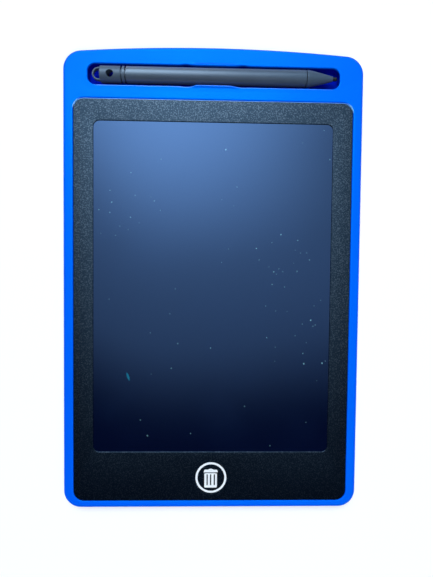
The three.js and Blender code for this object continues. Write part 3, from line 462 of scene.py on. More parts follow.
white_tape = tape("white_tissue_tape", (0.66, 0.64, 0.57))
crystals = speckled_body("crystal_layer", (0.004, 0.014, 0.05), (0.006, 0.03, 0.06), 0.3, 900.0)
dress_node("lcd_front_sheet", glossy_navy())
dress_node("liquid_crystal_layer", crystals)
dress_node("lcd_back_sheet", clear_sheet())
dress_node("light_absorber", tape("flat_black_sheet", (0.0018, 0.0018, 0.0021)))
dress_node("screen_tape", white_tape)
dress_node("overlay_adhesive", white_tape)


# Front frame. The blue ABS shell that carries everything: a recess for the cover film, a deck for
# the screen, and the stylus slot, whose long edges have a raised lip in the middle. It is moulded in
# one piece, and windows in its wall take the snap hooks of the back cover.
MM = 0.001


def arc_corners(centre_x, centre_y, radius, start, end, steps):
    turn = (end - start) / steps
    return [
        (centre_x + radius * math.cos(start + turn * i), centre_y + radius * math.sin(start + turn * i))
        for i in range(steps + 1)
    ]


def rounded_box(left, right, low, high, radius, steps=12):
    quarter = math.pi / 2
    return [
        *arc_corners(right - radius, low + radius, radius, -quarter, 0, steps),
        *arc_corners(right - radius, high - radius, radius, 0, quarter, steps),
        *arc_corners(left + radius, high - radius, radius, quarter, 2 * quarter, steps),
        *arc_corners(left + radius, low + radius, radius, 2 * quarter, 3 * quarter, steps),
    ]


def grown_box(box, by, radius, steps=12):
    left, right, low, high = box
    return rounded_box(left - by, right + by, low - by, high + by, radius + by, steps)


def case_outline(inset):
    """The case's outline, moved inwards by the inset. The foot is straight and the head bows outwards."""
    half_width, half_length, bow = 71.8, 111.4, 3.13
    foot_radius, head_radius = 8.4 - inset, 8.8 - inset
    bow_radius = (half_width**2 + bow**2) / (2 * bow)
    bow_y = half_length - bow_radius
    side = half_width - inset
    corner_x = side - head_radius
    corner_y = bow_y + math.sqrt((bow_radius - inset - head_radius) ** 2 - corner_x**2)
    tilt = math.atan2(corner_y - bow_y, corner_x)
    foot = -half_length + inset
    quarter = math.pi / 2
    return [
        *arc_corners(side - foot_radius, foot + foot_radius, foot_radius, -quarter, 0, 14),
        *arc_corners(corner_x, corner_y, head_radius, 0, tilt, 14),
        *arc_corners(0, bow_y, bow_radius - inset, tilt, math.pi - tilt, 40)[1:-1],
        *arc_corners(-corner_x, corner_y, head_radius, math.pi - tilt, math.pi, 14),
        *arc_corners(-side + foot_radius, foot + foot_radius, foot_radius, math.pi, 3 * quarter, 14),
    ]


def hump(t):
    """1 at the middle, falling smoothly to 0 at a distance of 1 and farther out."""
    return (1 + math.cos(math.pi * t)) / 2 if abs(t) < 1 else 0.0


def plateau(x, left_end, left_top, right_top, right_end):
    """Rises smoothly from one end to a flat top, and falls smoothly to the other end."""
    if x < left_top:
        return hump((left_top - x) / (left_top - left_end))
    return hump(max(x - right_top, 0.0) / (right_end - right_top))


def lip_shape(x):
    return plateau(x, -11.2, -8.4, 6.4, 13.0)


SLOT_Y, SLOT_END, SLOT_SIDE, SLOT_RADIUS = 98.0, 60.2, 4.85, 3.6


def slot_outline(grow, lips=True):
    """The slot's mouth. Each long edge leans in at the middle, and gives way a little beside that."""
    end, side, radius = SLOT_END + grow, SLOT_SIDE + grow, SLOT_RADIUS + grow
    shaped_half, half_steps, give_x, give_width = 17.8, 36, 13.7, 3.8
    quarter = math.pi / 2

    def long_edge(sign, reach, left_give, right_give):
        corners = []
        for i in range(2 * half_steps + 1):
            x = sign * shaped_half * (1 - i / half_steps)
            left = left_give * hump((x + give_x) / give_width)
            right = right_give * hump((x - give_x) / give_width)
            corners.append((x, SLOT_Y + sign * (side - reach * lip_shape(x) + left + right)))
        return corners

    return [
        *arc_corners(end - radius, SLOT_Y - side + radius, radius, -quarter, 0, 12),
        *arc_corners(end - radius, SLOT_Y + side - radius, radius, 0, quarter, 12),
        *(long_edge(1, 0.2, 0.3, 0.3) if lips else []),
        *arc_corners(-end + radius, SLOT_Y + side - radius, radius, quarter, 2 * quarter, 12),
        *arc_corners(-end + radius, SLOT_Y - side + radius, radius, 2 * quarter, 3 * quarter, 12),
        *(long_edge(-1, 0.65, 0.25, 0.08) if lips else []),
    ]


def ring(bm, outline, z):
    """A closed row of corners, in millimetres. The height is a number or a function of x and y."""
    height = z if callable(z) else lambda x, y: z
    return [bm.verts.new((x * MM, y * MM, height(x, y) * MM)) for x, y in outline]


def skin(bm, rows, closed=False):
    """Faces from each row of corners to the next."""
    pairs = list(zip(rows, rows[1:]))
    if closed:
        pairs.append((rows[-1], rows[0]))
    faces = []
    for low, high in pairs:
        for i in range(len(low)):
            j = (i + 1) % len(low)
            faces.append(bm.faces.new((low[i], low[j], high[j], high[i])))
    return faces


def wall(bm, outline, low, high):
    rows = [ring(bm, outline, z) for z in (low, high)]
    skin(bm, rows)
    return rows


def fill_flat(bm, rows):
    """A flat face inside the first row of corners, with the other rows as holes in it."""
    edges = []
    for row in rows:
        for first, second in zip(row, row[1:] + row[:1]):
            edges.append(bm.edges.get((first, second)) or bm.edges.new((first, second)))
    bmesh.ops.triangle_fill(bm, use_beauty=True, use_dissolve=False, edges=edges)


def make_piece(bm, name, material, body, crease_degrees=38):
    bmesh.ops.recalc_face_normals(bm, faces=bm.faces)
    mesh = bpy.data.meshes.new(name)
    bm.to_mesh(mesh)
    bm.free()
    mesh.materials.append(material)
    mesh.shade_smooth()
    mesh.set_sharp_from_angle(angle=math.radians(crease_degrees))
    piece = bpy.data.objects.new(name, mesh)
    bpy.context.collection.objects.link(piece)
    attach(piece, body)
    return piece


def block(bm, left, right, low, high, under, top):
    outline = [(left, low), (right, low), (right, high), (left, high)]
    for row in wall(bm, outline, under, top):
        bm.faces.new(row)


def cut_out(bm, tool):
    """Take the tool's shape out of a piece that is still a bare mesh."""
    things = []
    for shape in (bm, tool):
        bmesh.ops.recalc_face_normals(shape, faces=shape.faces)
        mesh = bpy.data.meshes.new("shape")
        shape.to_mesh(mesh)
        shape.free()
        things.append(bpy.data.objects.new("shape", mesh))
        bpy.context.collection.objects.link(things[-1])
    cut = things[0].modifiers.new("cut", "BOOLEAN")
    cut.operation = "DIFFERENCE"
    cut.solver = "EXACT"
    cut.object = things[1]
    bpy.context.view_layer.update()
    result = bmesh.new()
    result.from_object(things[0], bpy.context.evaluated_depsgraph_get())
    for thing in things:
        bpy.data.objects.remove(thing)
    return result


def rolled_off(width, drop, steps=5):
    """The slight roll of a flat face to its edge: how far from the edge, and how far below the face."""
    shares = [step / steps for step in range(steps + 1)]
    return [(width * share, drop * (1 - share) ** 2) for share in shares]


def quarter_round(radius, steps=5):
    """How far in and how far down each corner of a rounded edge lies, from the wall to the flat face."""
    angles = [math.pi / 2 * i / steps for i in range(steps + 1)]
    return [(radius * (1 - math.cos(angle)), radius * (1 - math.sin(angle))) for angle in angles]


FACE_Z, RECESS_Z, DECK_Z = 6.0, 5.4, 4.7
BAY_ROOF_Z, ROOF_Z, JOINT_Z, SLOT_FOOT_Z = 4.8, 3.7, 1.3, 1.1
FILM_BOX, FILM_CORNER = (-67.0, 67.0, -107.94, 86.63), 5.0
WINDOW_BOX, WINDOW_CORNER = (-57.55, 57.55, -83.73, 76.28), 2.9
SCREEN_BOX = (-60.55, 60.55, -86.73, 78.86)
KEY_Y, KEY_RADIUS, KEY_GAP = -96.8, 7.95, 0.08


def round_row(bm, radius, z, centre_x=0.0, centre_y=KEY_Y, sides=96):
    outline = arc_corners(centre_x, centre_y, radius, 0, 2 * math.pi, sides)[:-1]
    return ring(bm, outline, z)


def outer_wall(bm):
    """From the joint with the back cover, up the side and over the rounded edge of the face."""
    edge = 1.0
    profile = [(0.15, JOINT_Z), (0.04, JOINT_Z + 0.04), (0.0, JOINT_Z + 0.15)]
    profile += [(0.0, 2.0), (0.0, FACE_Z - 1.3)]
    profile += [(inward, FACE_Z - down) for inward, down in quarter_round(edge, 8)]
    profile.append((edge + 0.25, FACE_Z))
    rows = [ring(bm, case_outline(inset), z) for inset, z in profile]
    skin(bm, rows)
    return rows


def lip_rise(away):
    """How far the lips stand above the face, at one distance from the slot."""
    crest, flat_width, slope_width = 0.35, 0.6, 1.0
    share = 1.0 if away <= flat_width else hump((away - flat_width) / slope_width)
    return lambda x, y: crest * share * lip_shape(x)


def slot_wall(bm):
    """Up from the slot's foot, round its mouth and out over the lips to the flat face."""
    straight_to_down, mouth_radius, lips_from_down = 1.2, 0.55, 0.7
    lip_steps = (0.65, 0.8, 0.95, 1.1, 1.25, 1.45, 1.6, 1.75)
    profile = [(0.0, FACE_Z - SLOT_FOOT_Z), (0.0, straight_to_down), *quarter_round(mouth_radius, 7)]
    rows = []
    for grow, down in profile:
        rise = lip_rise(0.0) if down < lips_from_down else (lambda x, y: 0.0)
        rows.append(ring(bm, slot_outline(grow), lambda x, y: FACE_Z - down + rise(x, y)))
    for grow in lip_steps:
        rise = lip_rise(grow)
        rows.append(ring(bm, slot_outline(grow), lambda x, y: FACE_Z + rise(x, y)))
    skin(bm, rows)
    return rows


def recess_wall(bm):
    """A hair outside the film, with a rounded edge and a slight roll of the face down to it."""
    gap, straight_to_down, edge, roll_width, roll_drop = 0.15, 0.45, 0.3, 0.7, 0.06
    profile = [(gap, FACE_Z - RECESS_Z), (gap, straight_to_down)]
    profile += [(gap + out, roll_drop + down) for out, down in quarter_round(edge, 5)[:-1]]
    profile += [(gap + edge + out, down) for out, down in rolled_off(roll_width, roll_drop)]
    rows = [ring(bm, grown_box(FILM_BOX, out, FILM_CORNER), FACE_Z - down) for out, down in profile]
    skin(bm, rows)
    return rows


def frame_openings():
    """A slot for the screen's flat lead, and a window in the wall for each of the ten snap hooks."""
    lead_slot = (-24.6, -13.4, -88.53, -84.53, JOINT_Z, 5.1)
    deep, half_long, under, top = 1.5, 3.15, 1.95, 2.85
    side_xs, side_ys = (-70.5, 69.0), (-77.98, -27.85, 27.85, 69.07)
    foot_xs, foot_y = (-43.08, 43.08), -110.1
    openings = bmesh.new()
    block(openings, *lead_slot)
    for y in side_ys:
        for x in side_xs:
            block(openings, x, x + deep, y - half_long, y + half_long, under, top)
    for x in foot_xs:
        block(openings, x - half_long, x + half_long, foot_y, foot_y + deep, under, top)
    return openings


def build_front_frame():
    wall_thickness, screen_gap, tub_thickness = 1.8, 0.3, 1.4
    bay = rounded_box(-64.2, 64.2, -107.65, -87.93, 0.4, 3)
    bm = bmesh.new()
    outside = outer_wall(bm)
    lining = wall(bm, case_outline(wall_thickness), JOINT_Z, ROOF_Z)
    fill_flat(bm, [outside[0], lining[0]])
    slot_rows = slot_wall(bm)
    recess_rows = recess_wall(bm)
    fill_flat(bm, [outside[-1], slot_rows[-1], recess_rows[-1]])
    pocket = wall(bm, grown_box(SCREEN_BOX, screen_gap, 1.5, 6), RECESS_Z, DECK_Z)
    fill_flat(bm, [pocket[1]])
    key_bore = [round_row(bm, KEY_RADIUS + KEY_GAP, z) for z in (BAY_ROOF_Z, RECESS_Z)]
    skin(bm, key_bore)
    fill_flat(bm, [recess_rows[0], pocket[0], key_bore[1]])
    bay_rows = wall(bm, bay, ROOF_Z, BAY_ROOF_Z)
    fill_flat(bm, [bay_rows[1], key_bore[0]])
    tub = wall(bm, slot_outline(tub_thickness, lips=False), SLOT_FOOT_Z, ROOF_Z)
    fill_flat(bm, [tub[0], slot_rows[0]])
    fill_flat(bm, [lining[1], tub[1], bay_rows[0]])
    return cut_out(bm, frame_openings())


case_shell = make_piece(build_front_frame(), "case_shell", blue_abs, "case")
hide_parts("front_frame")


# Cover film. Clear PET with a hard, finely grained face, printed black on its back, die-cut round
# the window and the erase key, and held by tape in the recess of the front frame. Along the head
# edge its rounded rim is a bright blue material: a painted highlight, the thin pale line where that
# edge catches the light.
def film_grain_effect():
    """The pebbled grain rolled into the film: soft bumps of two sizes, and their sparkle."""
    effect, given, result = new_effect(
        "film grain", [("Pebbles per metre", 1850.0)], ["Height", "Sparkle"]
    )
    where = place_node(effect, "ShaderNodeTexCoord").outputs["Object"]
    coarse = noise(effect, where, given.outputs["Pebbles per metre"], detail=2.0, roughness=0.6)
    finer = calculate(effect, "MULTIPLY", given.outputs["Pebbles per metre"], 2.2)
    fine = noise(effect, where, finer, detail=2.0)
    height = calculate(effect, "MULTIPLY_ADD", fine, 0.4, calculate(effect, "MULTIPLY", coarse, 0.6))
    effect.links.new(height, result.inputs["Height"])
    effect.links.new(spread(effect, coarse, 0.52, 0.61), result.inputs["Sparkle"])
    return effect


film_grain = film_grain_effect()


def grained_black():
    finish = Finish(
        "grained_black_film", (0.0, 0.0006, 0.0036), 0.31,
        IOR=1.54, Specular_Tint=(0.42, 0.74, 1.0, 1.0), Coat_Roughness=0.28, Coat_IOR=1.82,
    )
    grain = finish.effect(film_grain, Pebbles_per_metre=1850.0)
    marks = finish.effect(handling_marks, Scuffs_per_metre=900.0)
    finish.feed("Base Color", finish.mix_color(grain["Sparkle"], (0.0004, 0.0016, 0.0054)))
    finish.feed("Roughness", finish.raised(0.29, marks["Patches"], 0.04))
    finish.feed("Coat Weight", finish.raised(0.2, grain["Sparkle"], 0.92))
    finish.bump(grain["Height"], 0.05)
    return finish.material


# Painted highlight: a bright blue, glossy colour for the film's rim along the head edge, where that edge
# catches the light.
def painted_highlight_edge():
    finish = Finish("painted_highlight_edge", (0.05, 0.3, 0.95), 0.12, IOR=1.9, Specular_Tint=(0.8, 0.9, 1.0, 1.0))
    cut = finish.effect(moulded_grain, Grains_per_metre=2500.0, Waves_per_metre=70.0)
    finish.feed("Base Color", finish.mix_color(cut["Grain"], (0.2, 0.5, 1.0)))
    finish.feed("Roughness", finish.raised(0.08, cut["Grain"], 0.1))
    finish.bump(cut["Waves"], 0.2)
    return finish.material


black_film = grained_black()
FILM_UNDER_Z, FILM_TOP_Z, KEY_EDGE = 5.5, 5.8, 0.03


def film_rows(bm, box, corner, profile):
    return [ring(bm, grown_box(box, out, corner), FILM_TOP_Z - down) for out, down in profile]


def build_cover_film():
    rim, roll_width, roll_drop, window_edge = 0.1, 0.28, 0.03, 0.29
    thickness, highlight_from_y, highlight_steps = FILM_TOP_Z - FILM_UNDER_Z, 83.2, 2
    hole, hole_straight_to_z, hole_flat_from = KEY_RADIUS + KEY_GAP, 5.75, KEY_RADIUS + 0.25
    bm = bmesh.new()
    profile = [(0.0, thickness)]
    profile += [(inward, roll_drop + down) for inward, down in quarter_round(rim, 4)[:-1]]
    highlight_rows_end = len(profile) + highlight_steps
    profile += [(rim + inward, down) for inward, down in rolled_off(roll_width, roll_drop)]
    outside = film_rows(bm, FILM_BOX, FILM_CORNER, [(-inward, down) for inward, down in profile])
    profile = [(0.0, thickness)]
    profile += [(out, down * 0.6) for out, down in quarter_round(window_edge, 6)]
    window = film_rows(bm, WINDOW_BOX, WINDOW_CORNER, profile)
    key = [round_row(bm, hole, z) for z in (FILM_UNDER_Z, hole_straight_to_z)]
    key += [round_row(bm, hole + out, FILM_TOP_Z - down) for out, down in quarter_round(KEY_EDGE, 2)]
    key.append(round_row(bm, hole_flat_from, FILM_TOP_Z))
    for rows in (window, key, outside[highlight_rows_end:]):
        skin(bm, rows)
    # The rim faces along the head edge get the painted highlight material.
    for face in skin(bm, outside[:highlight_rows_end + 1]):
        if face.calc_center_median().y > highlight_from_y * MM:
            face.material_index = 1
    fill_flat(bm, [outside[-1], window[-1], key[-1]])
    fill_flat(bm, [outside[0], window[0], key[0]])
    return bm


cover_film = make_piece(build_cover_film(), "cover_film", black_film, "case")
cover_film.data.materials.append(painted_highlight_edge())
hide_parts("overlay_film")


# Erase key. A round zone of the cover film on a black plunger, over a click switch on the board. Its
# white print is a ring at the zone's edge and a plain bin inside it.
def build_key_film():
    straight_to_z, flat_from, edge = 5.76, KEY_RADIUS - 0.2, quarter_round(KEY_EDGE, 2)
    bm = bmesh.new()
    rows = [round_row(bm, KEY_RADIUS, z) for z in (FILM_UNDER_Z, straight_to_z)]
    rows += [round_row(bm, KEY_RADIUS - inward, FILM_TOP_Z - down) for inward, down in edge]
    rows.append(round_row(bm, flat_from, FILM_TOP_Z))
    skin(bm, rows)
    for end_row in (rows[-1], rows[0]):
        fill_flat(bm, [end_row])
    return bm


key_film = make_piece(build_key_film(), "erase_key_disc", black_film, "erase_key")
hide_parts("erase_key_film")


def white_print():
    finish = Finish("white_screen_print", (0.95, 0.97, 0.97), 0.45)
    grain = finish.effect(film_grain, Pebbles_per_metre=1500.0)
    finish.feed("Base Color", finish.mix_color(grain["Sparkle"], (0.98, 0.98, 0.98)))
    finish.feed("Roughness", finish.raised(0.48, grain["Sparkle"], -0.08))
    finish.bump(grain["Height"], 0.008)
    return finish.material


INK_LOW, INK_HIGH = 5.797, 5.812


def print_shape(bm, outline, holes=()):
    rows = [wall(bm, shape, INK_LOW, INK_HIGH) for shape in (outline, *holes)]
    fill_flat(bm, [high for low, high in rows])
    fill_flat(bm, [low for low, high in rows])


def lid_outline():
    """The bin's lid: a flat foot, sloped shoulders and a soft knob in the middle."""
    base, shoulder, knob = -93.97, -92.64, 0.48
    left, right, crown_left, crown_right = -3.44, 3.48, -2.8, 2.9
    knob_x, knob_half_width, steps = 0.05, 1.8, 40
    crown_xs = [crown_right - (crown_right - crown_left) * i / steps for i in range(steps + 1)]
    return [
        (left, base),
        (right, base),
        (right + 0.04, base + 0.18),
        (right - 0.3, shoulder - 0.12),
        *[(x, shoulder + knob * hump((x - knob_x) / knob_half_width)) for x in crown_xs],
        (left + 0.36, shoulder - 0.12),
        (left - 0.04, base + 0.18),
    ]


def build_print():
    ring_inside, ring_outside, ring_x, ring_y = 6.6, 7.62, 0.16, KEY_Y + 0.22
    bin_box, bin_corner = (-3.1, 3.14, -101.6, -94.4), 0.55
    slot_xs, slot_half_width, slot_ends, slot_corner = (-1.68, 0.03, 1.86), 0.31, (-100.38, -95.0), 0.12
    bm = bmesh.new()
    section = (
        (ring_inside, INK_LOW), (ring_outside, INK_LOW), (ring_outside, INK_HIGH), (ring_inside, INK_HIGH)
    )
    rows = [round_row(bm, radius, z, ring_x, ring_y) for radius, z in section]
    skin(bm, rows, closed=True)
    print_shape(bm, lid_outline())
    slots = [
        rounded_box(x - slot_half_width, x + slot_half_width, *slot_ends, slot_corner, 3) for x in slot_xs
    ]
    print_shape(bm, rounded_box(*bin_box, bin_corner, 5), slots)
    return bm


key_print = make_piece(build_print(), "erase_key_print", white_print(), "erase_key")
dress_node("erase_plunger", black_acetal)
dress_node("tact_switch_base", black_acetal)
dress_node("tact_switch_button", white_acetal)
dress_node("tact_switch_dome", sprung_strip)


# Stylus. Satin dark grey plastic: a tube, a cap with a lanyard bail and a cross hole, a narrow
# collar between them, and a tapered nose with a hard black tip. The pieces are pressed together.
# Its clear lacquer is worn away on the cap, towards the writing end and down the sides.
def stylus_grey():
    worn_along, worn_on_cap, worn_round = (-0.055, 0.055), (-0.0445, -0.0412), (0.3, 0.85)
    finish = Finish(
        "satin_grey_plastic", (0.056, 0.088, 0.132), 0.4,
        IOR=1.45, Specular_Tint=(0.82, 0.93, 1.0, 1.0), Coat_Roughness=0.38, Coat_IOR=2.45,
    )
    place, facing = place_and_facing(finish.tree)
    lacquer = product(
        finish.tree,
        spread(finish.tree, place["X"], *worn_along, 1.0, 0.0),
        spread(finish.tree, place["X"], *worn_on_cap, 0.3, 1.0),
        spread(finish.tree, facing["Z"], *worn_round),
    )
    finish.feed("Coat Weight", lacquer)
    grain = finish.effect(moulded_grain, Grains_per_metre=3200.0, Waves_per_metre=140.0)
    marks = finish.effect(handling_marks, Scuffs_per_metre=1600.0)
    finish.feed("Base Color", finish.mix_color(grain["Waves"], (0.07, 0.106, 0.156)))
    dull = finish.raised(0.32, marks["Patches"], 0.1)
    finish.feed("Roughness", finish.raised(dull, grain["Waves"], 0.1))
    finish.bump(grain["Grain"], 0.004)
    return finish.material


def tip_black():
    finish = Finish("hard_black_tip", (0.010, 0.012, 0.015), 0.25)
    marks = finish.effect(handling_marks, Scuffs_per_metre=3000.0)
    finish.feed("Base Color", finish.mix_color(marks["Patches"], (0.02, 0.023, 0.027)))
    finish.feed("Roughness", finish.raised(0.2, marks["Patches"], 0.14))
    return finish.material


grey_plastic = stylus_grey()
STYLUS_Z, STYLUS_RADIUS, BORE_RADIUS, SPIGOT_RADIUS, END_RADIUS = 5.2, 3.8, 2.9, 2.8, 0.2


def softened(corners, steps=5):
    """Rounds a profile's corners, each given as a place along the axis, a radius and a softness."""
    run_in = 1.6
    points = []
    for i, (along, radius, soft) in enumerate(corners):
        here = Vector((along, radius))
        if soft == 0:
            points.append(here)
            continue
        before = (Vector(corners[i - 1][:2]) - here).normalized()
        after = (Vector(corners[(i + 1) % len(corners)][:2]) - here).normalized()
        points.append(here + before * soft * run_in)
        for k in range(steps + 1):
            t = k / steps
            points.append(here + before * soft * (1 - t) ** 2 + after * soft * t**2)
        points.append(here + after * soft * run_in)
    return points


def stylus_spot(bm, along, across, high=0.0):
    """A corner given by where it lies along, across and above the stylus's axis."""
    return bm.verts.new((along * MM, (SLOT_Y + across) * MM, (STYLUS_Z + high) * MM))


def turn_rows(bm, profile, sides=96):
    turns = [2 * math.pi * i / sides for i in range(sides)]
    return [
        [stylus_spot(bm, along, radius * math.cos(turn), radius * math.sin(turn)) for turn in turns]
        for along, radius in profile
    ]


def turned_tube(start, stop, start_soft, stop_soft):
    """A tube round the axis, whose outer edges are softened."""
    corners = [
        (start, BORE_RADIUS, 0),
        (start, STYLUS_RADIUS, start_soft),
        (stop, STYLUS_RADIUS, stop_soft),
        (stop, BORE_RADIUS, 0),
    ]
    bm = bmesh.new()
    skin(bm, turn_rows(bm, softened(corners)), closed=True)
    return bm


def turned_plug(corners, sides=96):
    bm = bmesh.new()
    rows = turn_rows(bm, softened(corners), sides)
    skin(bm, rows)
    bm.faces.new(rows[0])
    bm.faces.new(rows[-1])
    return bm


def fit_stylus_piece(bm, name, node, material=grey_plastic):
    piece = make_piece(bm, name, material, "stylus")
    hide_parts(node)


def add_bail(bm):
    """A half ring on two short arms, of flat oval section, that grows out of the cap's end face."""
    middle_radius, centre_x, arm, steps = 2.68, -55.0, 1.3, 39
    half_across, half_high, section_corner = 0.42, 1.1, 0.38
    section = rounded_box(-half_across, half_across, -half_high, half_high, section_corner, 4)
    rows = []
    for i in range(-1, steps + 2):
        angle = math.pi / 2 + math.pi * min(max(i, 0), steps) / steps
        lead = arm if i in (-1, steps + 1) else 0.0
        row = []
        for across, high in section:
            reach = middle_radius + across
            x = centre_x + reach * math.cos(angle) + lead
            row.append(stylus_spot(bm, x, reach * math.sin(angle), high))
        rows.append(row)
    skin(bm, rows)
    bm.faces.new(rows[0])
    bm.faces.new(rows[-1])


def mould_pin(x, radius, lean_degrees):
    """The round pin that leaves the cross hole. It flares at the mouth and leans as the cap lies."""
    profile = ((0.0, -5.0), (0.0, 3.5), (0.05, 3.6), (0.2, 3.74), (0.5, 4.1))
    pin = bmesh.new()
    rows = [round_row(pin, radius + flare, z, x, 0.0, 48) for flare, z in profile]
    skin(pin, rows)
    for row in (rows[0], rows[-1]):
        pin.faces.new(row)
    lean = Matrix.Rotation(math.radians(lean_degrees), 3, "X")
    bmesh.ops.rotate(pin, verts=pin.verts, cent=(0, 0, 0), matrix=lean)
    bmesh.ops.translate(pin, verts=pin.verts, vec=(0, SLOT_Y * MM, STYLUS_Z * MM))
    return pin


def build_cap():
    end_face, shoulder, spigot_end = -54.15, -44.3, -33.7
    hole_x, hole_radius, hole_lean = -49.25, 1.62, 13.0
    cap = turned_plug([
        (end_face, END_RADIUS, 0),
        (end_face, STYLUS_RADIUS, 0.3),
        (shoulder, STYLUS_RADIUS, 0.14),
        (shoulder, SPIGOT_RADIUS, 0),
        (spigot_end, SPIGOT_RADIUS, 0.2),
        (spigot_end, END_RADIUS, 0),
    ])
    cap = cut_out(cap, mould_pin(hole_x, hole_radius, hole_lean))
    add_bail(cap)
    return cap


def build_nose():
    spigot_end, shoulder, straight_end, taper_start = 35.65, 43.95, 45.3, 45.35
    mouth, tip_seat = 56.8, 56.1
    taper_steps, mouth_radius, seat_radius, belly = 24, 1.2, 1.05, 0.1
    taper = []
    for step in range(1, taper_steps + 1):
        share = step / taper_steps
        radius = STYLUS_RADIUS - (STYLUS_RADIUS - mouth_radius) * share + belly * math.sin(math.pi * share)
        taper.append((taper_start + (mouth - taper_start) * share, radius, 0))
    return turned_plug([
        (spigot_end, END_RADIUS, 0),
        (spigot_end, SPIGOT_RADIUS, 0.2),
        (shoulder, SPIGOT_RADIUS, 0),
        (shoulder, STYLUS_RADIUS, 0.3),
        (straight_end, STYLUS_RADIUS, 0),
        *taper,
        (mouth, seat_radius, 0),
        (tip_seat, seat_radius, 0),
        (tip_seat, END_RADIUS, 0),
    ])


def build_tip():
    foot, stem_row, radius, ball_x, ball_steps, point_radius = 50.8, 56.4, 0.95, 58.25, 8, 0.04
    angles = [math.pi / 2 * i / ball_steps for i in range(ball_steps)]
    return turned_plug([
        (foot, END_RADIUS, 0),
        (foot, radius, 0),
        (stem_row, radius, 0),
        *[(ball_x + radius * math.sin(angle), radius * math.cos(angle), 0) for angle in angles],
        (ball_x + radius, point_radius, 0),
    ], sides=48)


fit_stylus_piece(turned_tube(-41.7, 43.65, 0.18, 0.14), "stylus_tube", "stylus_barrel")
fit_stylus_piece(turned_tube(-43.6, -42.4, 0.14, 0.14), "stylus_ring", "stylus_collar")
fit_stylus_piece(build_cap(), "stylus_cap", "stylus_end_cap")
fit_stylus_piece(build_nose(), "stylus_cone", "stylus_nose")
fit_stylus_piece(build_tip(), "stylus_tip", "stylus_nib", tip_black())


# Studio. A pale floor that shows only from above, a light environment with a soft bright area high
# behind the head of the tablet, a soft lamp over the head and one over the foot, and a camera held
# over the middle of the screen.
def floor_finish():
    """Matt and lit near the tablet, so that it takes the shadow, and plain white farther out."""
    matt_from, white_from = 0.1, 0.4
    material = bpy.data.materials.new("pale_floor")
    material.use_nodes = True
    tree = material.node_tree
    tree.nodes.clear()
    matt = place_node(tree, "ShaderNodeBsdfDiffuse")
    matt.inputs["Color"].default_value = (0.82, 0.79, 0.75, 1.0)
    lift = place_node(tree, "ShaderNodeEmission")
    lift.inputs["Strength"].default_value = 0.32
    near = place_node(tree, "ShaderNodeAddShader")
    tree.links.new(matt.outputs[0], near.inputs[0])
    tree.links.new(lift.outputs[0], near.inputs[1])
    white = place_node(tree, "ShaderNodeEmission")
    distance = place_node(tree, "ShaderNodeVectorMath", operation="LENGTH")
    tree.links.new(place_node(tree, "ShaderNodeTexCoord").outputs["Object"], distance.inputs[0])
    blend = place_node(tree, "ShaderNodeMixShader")
    tree.links.new(spread(tree, distance.outputs["Value"], matt_from, white_from), blend.inputs[0])
    tree.links.new(near.outputs[0], blend.inputs[1])
    tree.links.new(white.outputs[0], blend.inputs[2])
    rays = place_node(tree, "ShaderNodeLightPath")
    face = place_node(tree, "ShaderNodeNewGeometry")
    front = calculate(tree, "SUBTRACT", 1.0, face.outputs["Backfacing"])
    looking = calculate(tree, "MAXIMUM", rays.outputs["Is Camera Ray"], rays.outputs["Is Glossy Ray"])
    looking = calculate(tree, "MAXIMUM", looking, rays.outputs["Is Transmission Ray"])
    clear = place_node(tree, "ShaderNodeBsdfTransparent")
    choose = place_node(tree, "ShaderNodeMixShader")
    tree.links.new(calculate(tree, "MULTIPLY", looking, front), choose.inputs[0])
    tree.links.new(clear.outputs[0], choose.inputs[1])
    tree.links.new(blend.outputs[0], choose.inputs[2])
    out = place_node(tree, "ShaderNodeOutputMaterial")
    tree.links.new(choose.outputs[0], out.inputs["Surface"])
    return material


def add_floor():
    half_size, height = 4.0, -0.00005
    bm = bmesh.new()
    signs = ((-1, -1), (1, -1), (1, 1), (-1, 1))
    bm.faces.new([bm.verts.new((x * half_size, y * half_size, height)) for x, y in signs])
    mesh = bpy.data.meshes.new("floor")
    bm.to_mesh(mesh)
    bm.free()
    mesh.materials.append(floor_finish())
    floor = bpy.data.objects.new("floor", mesh)
    bpy.context.collection.objects.link(floor)


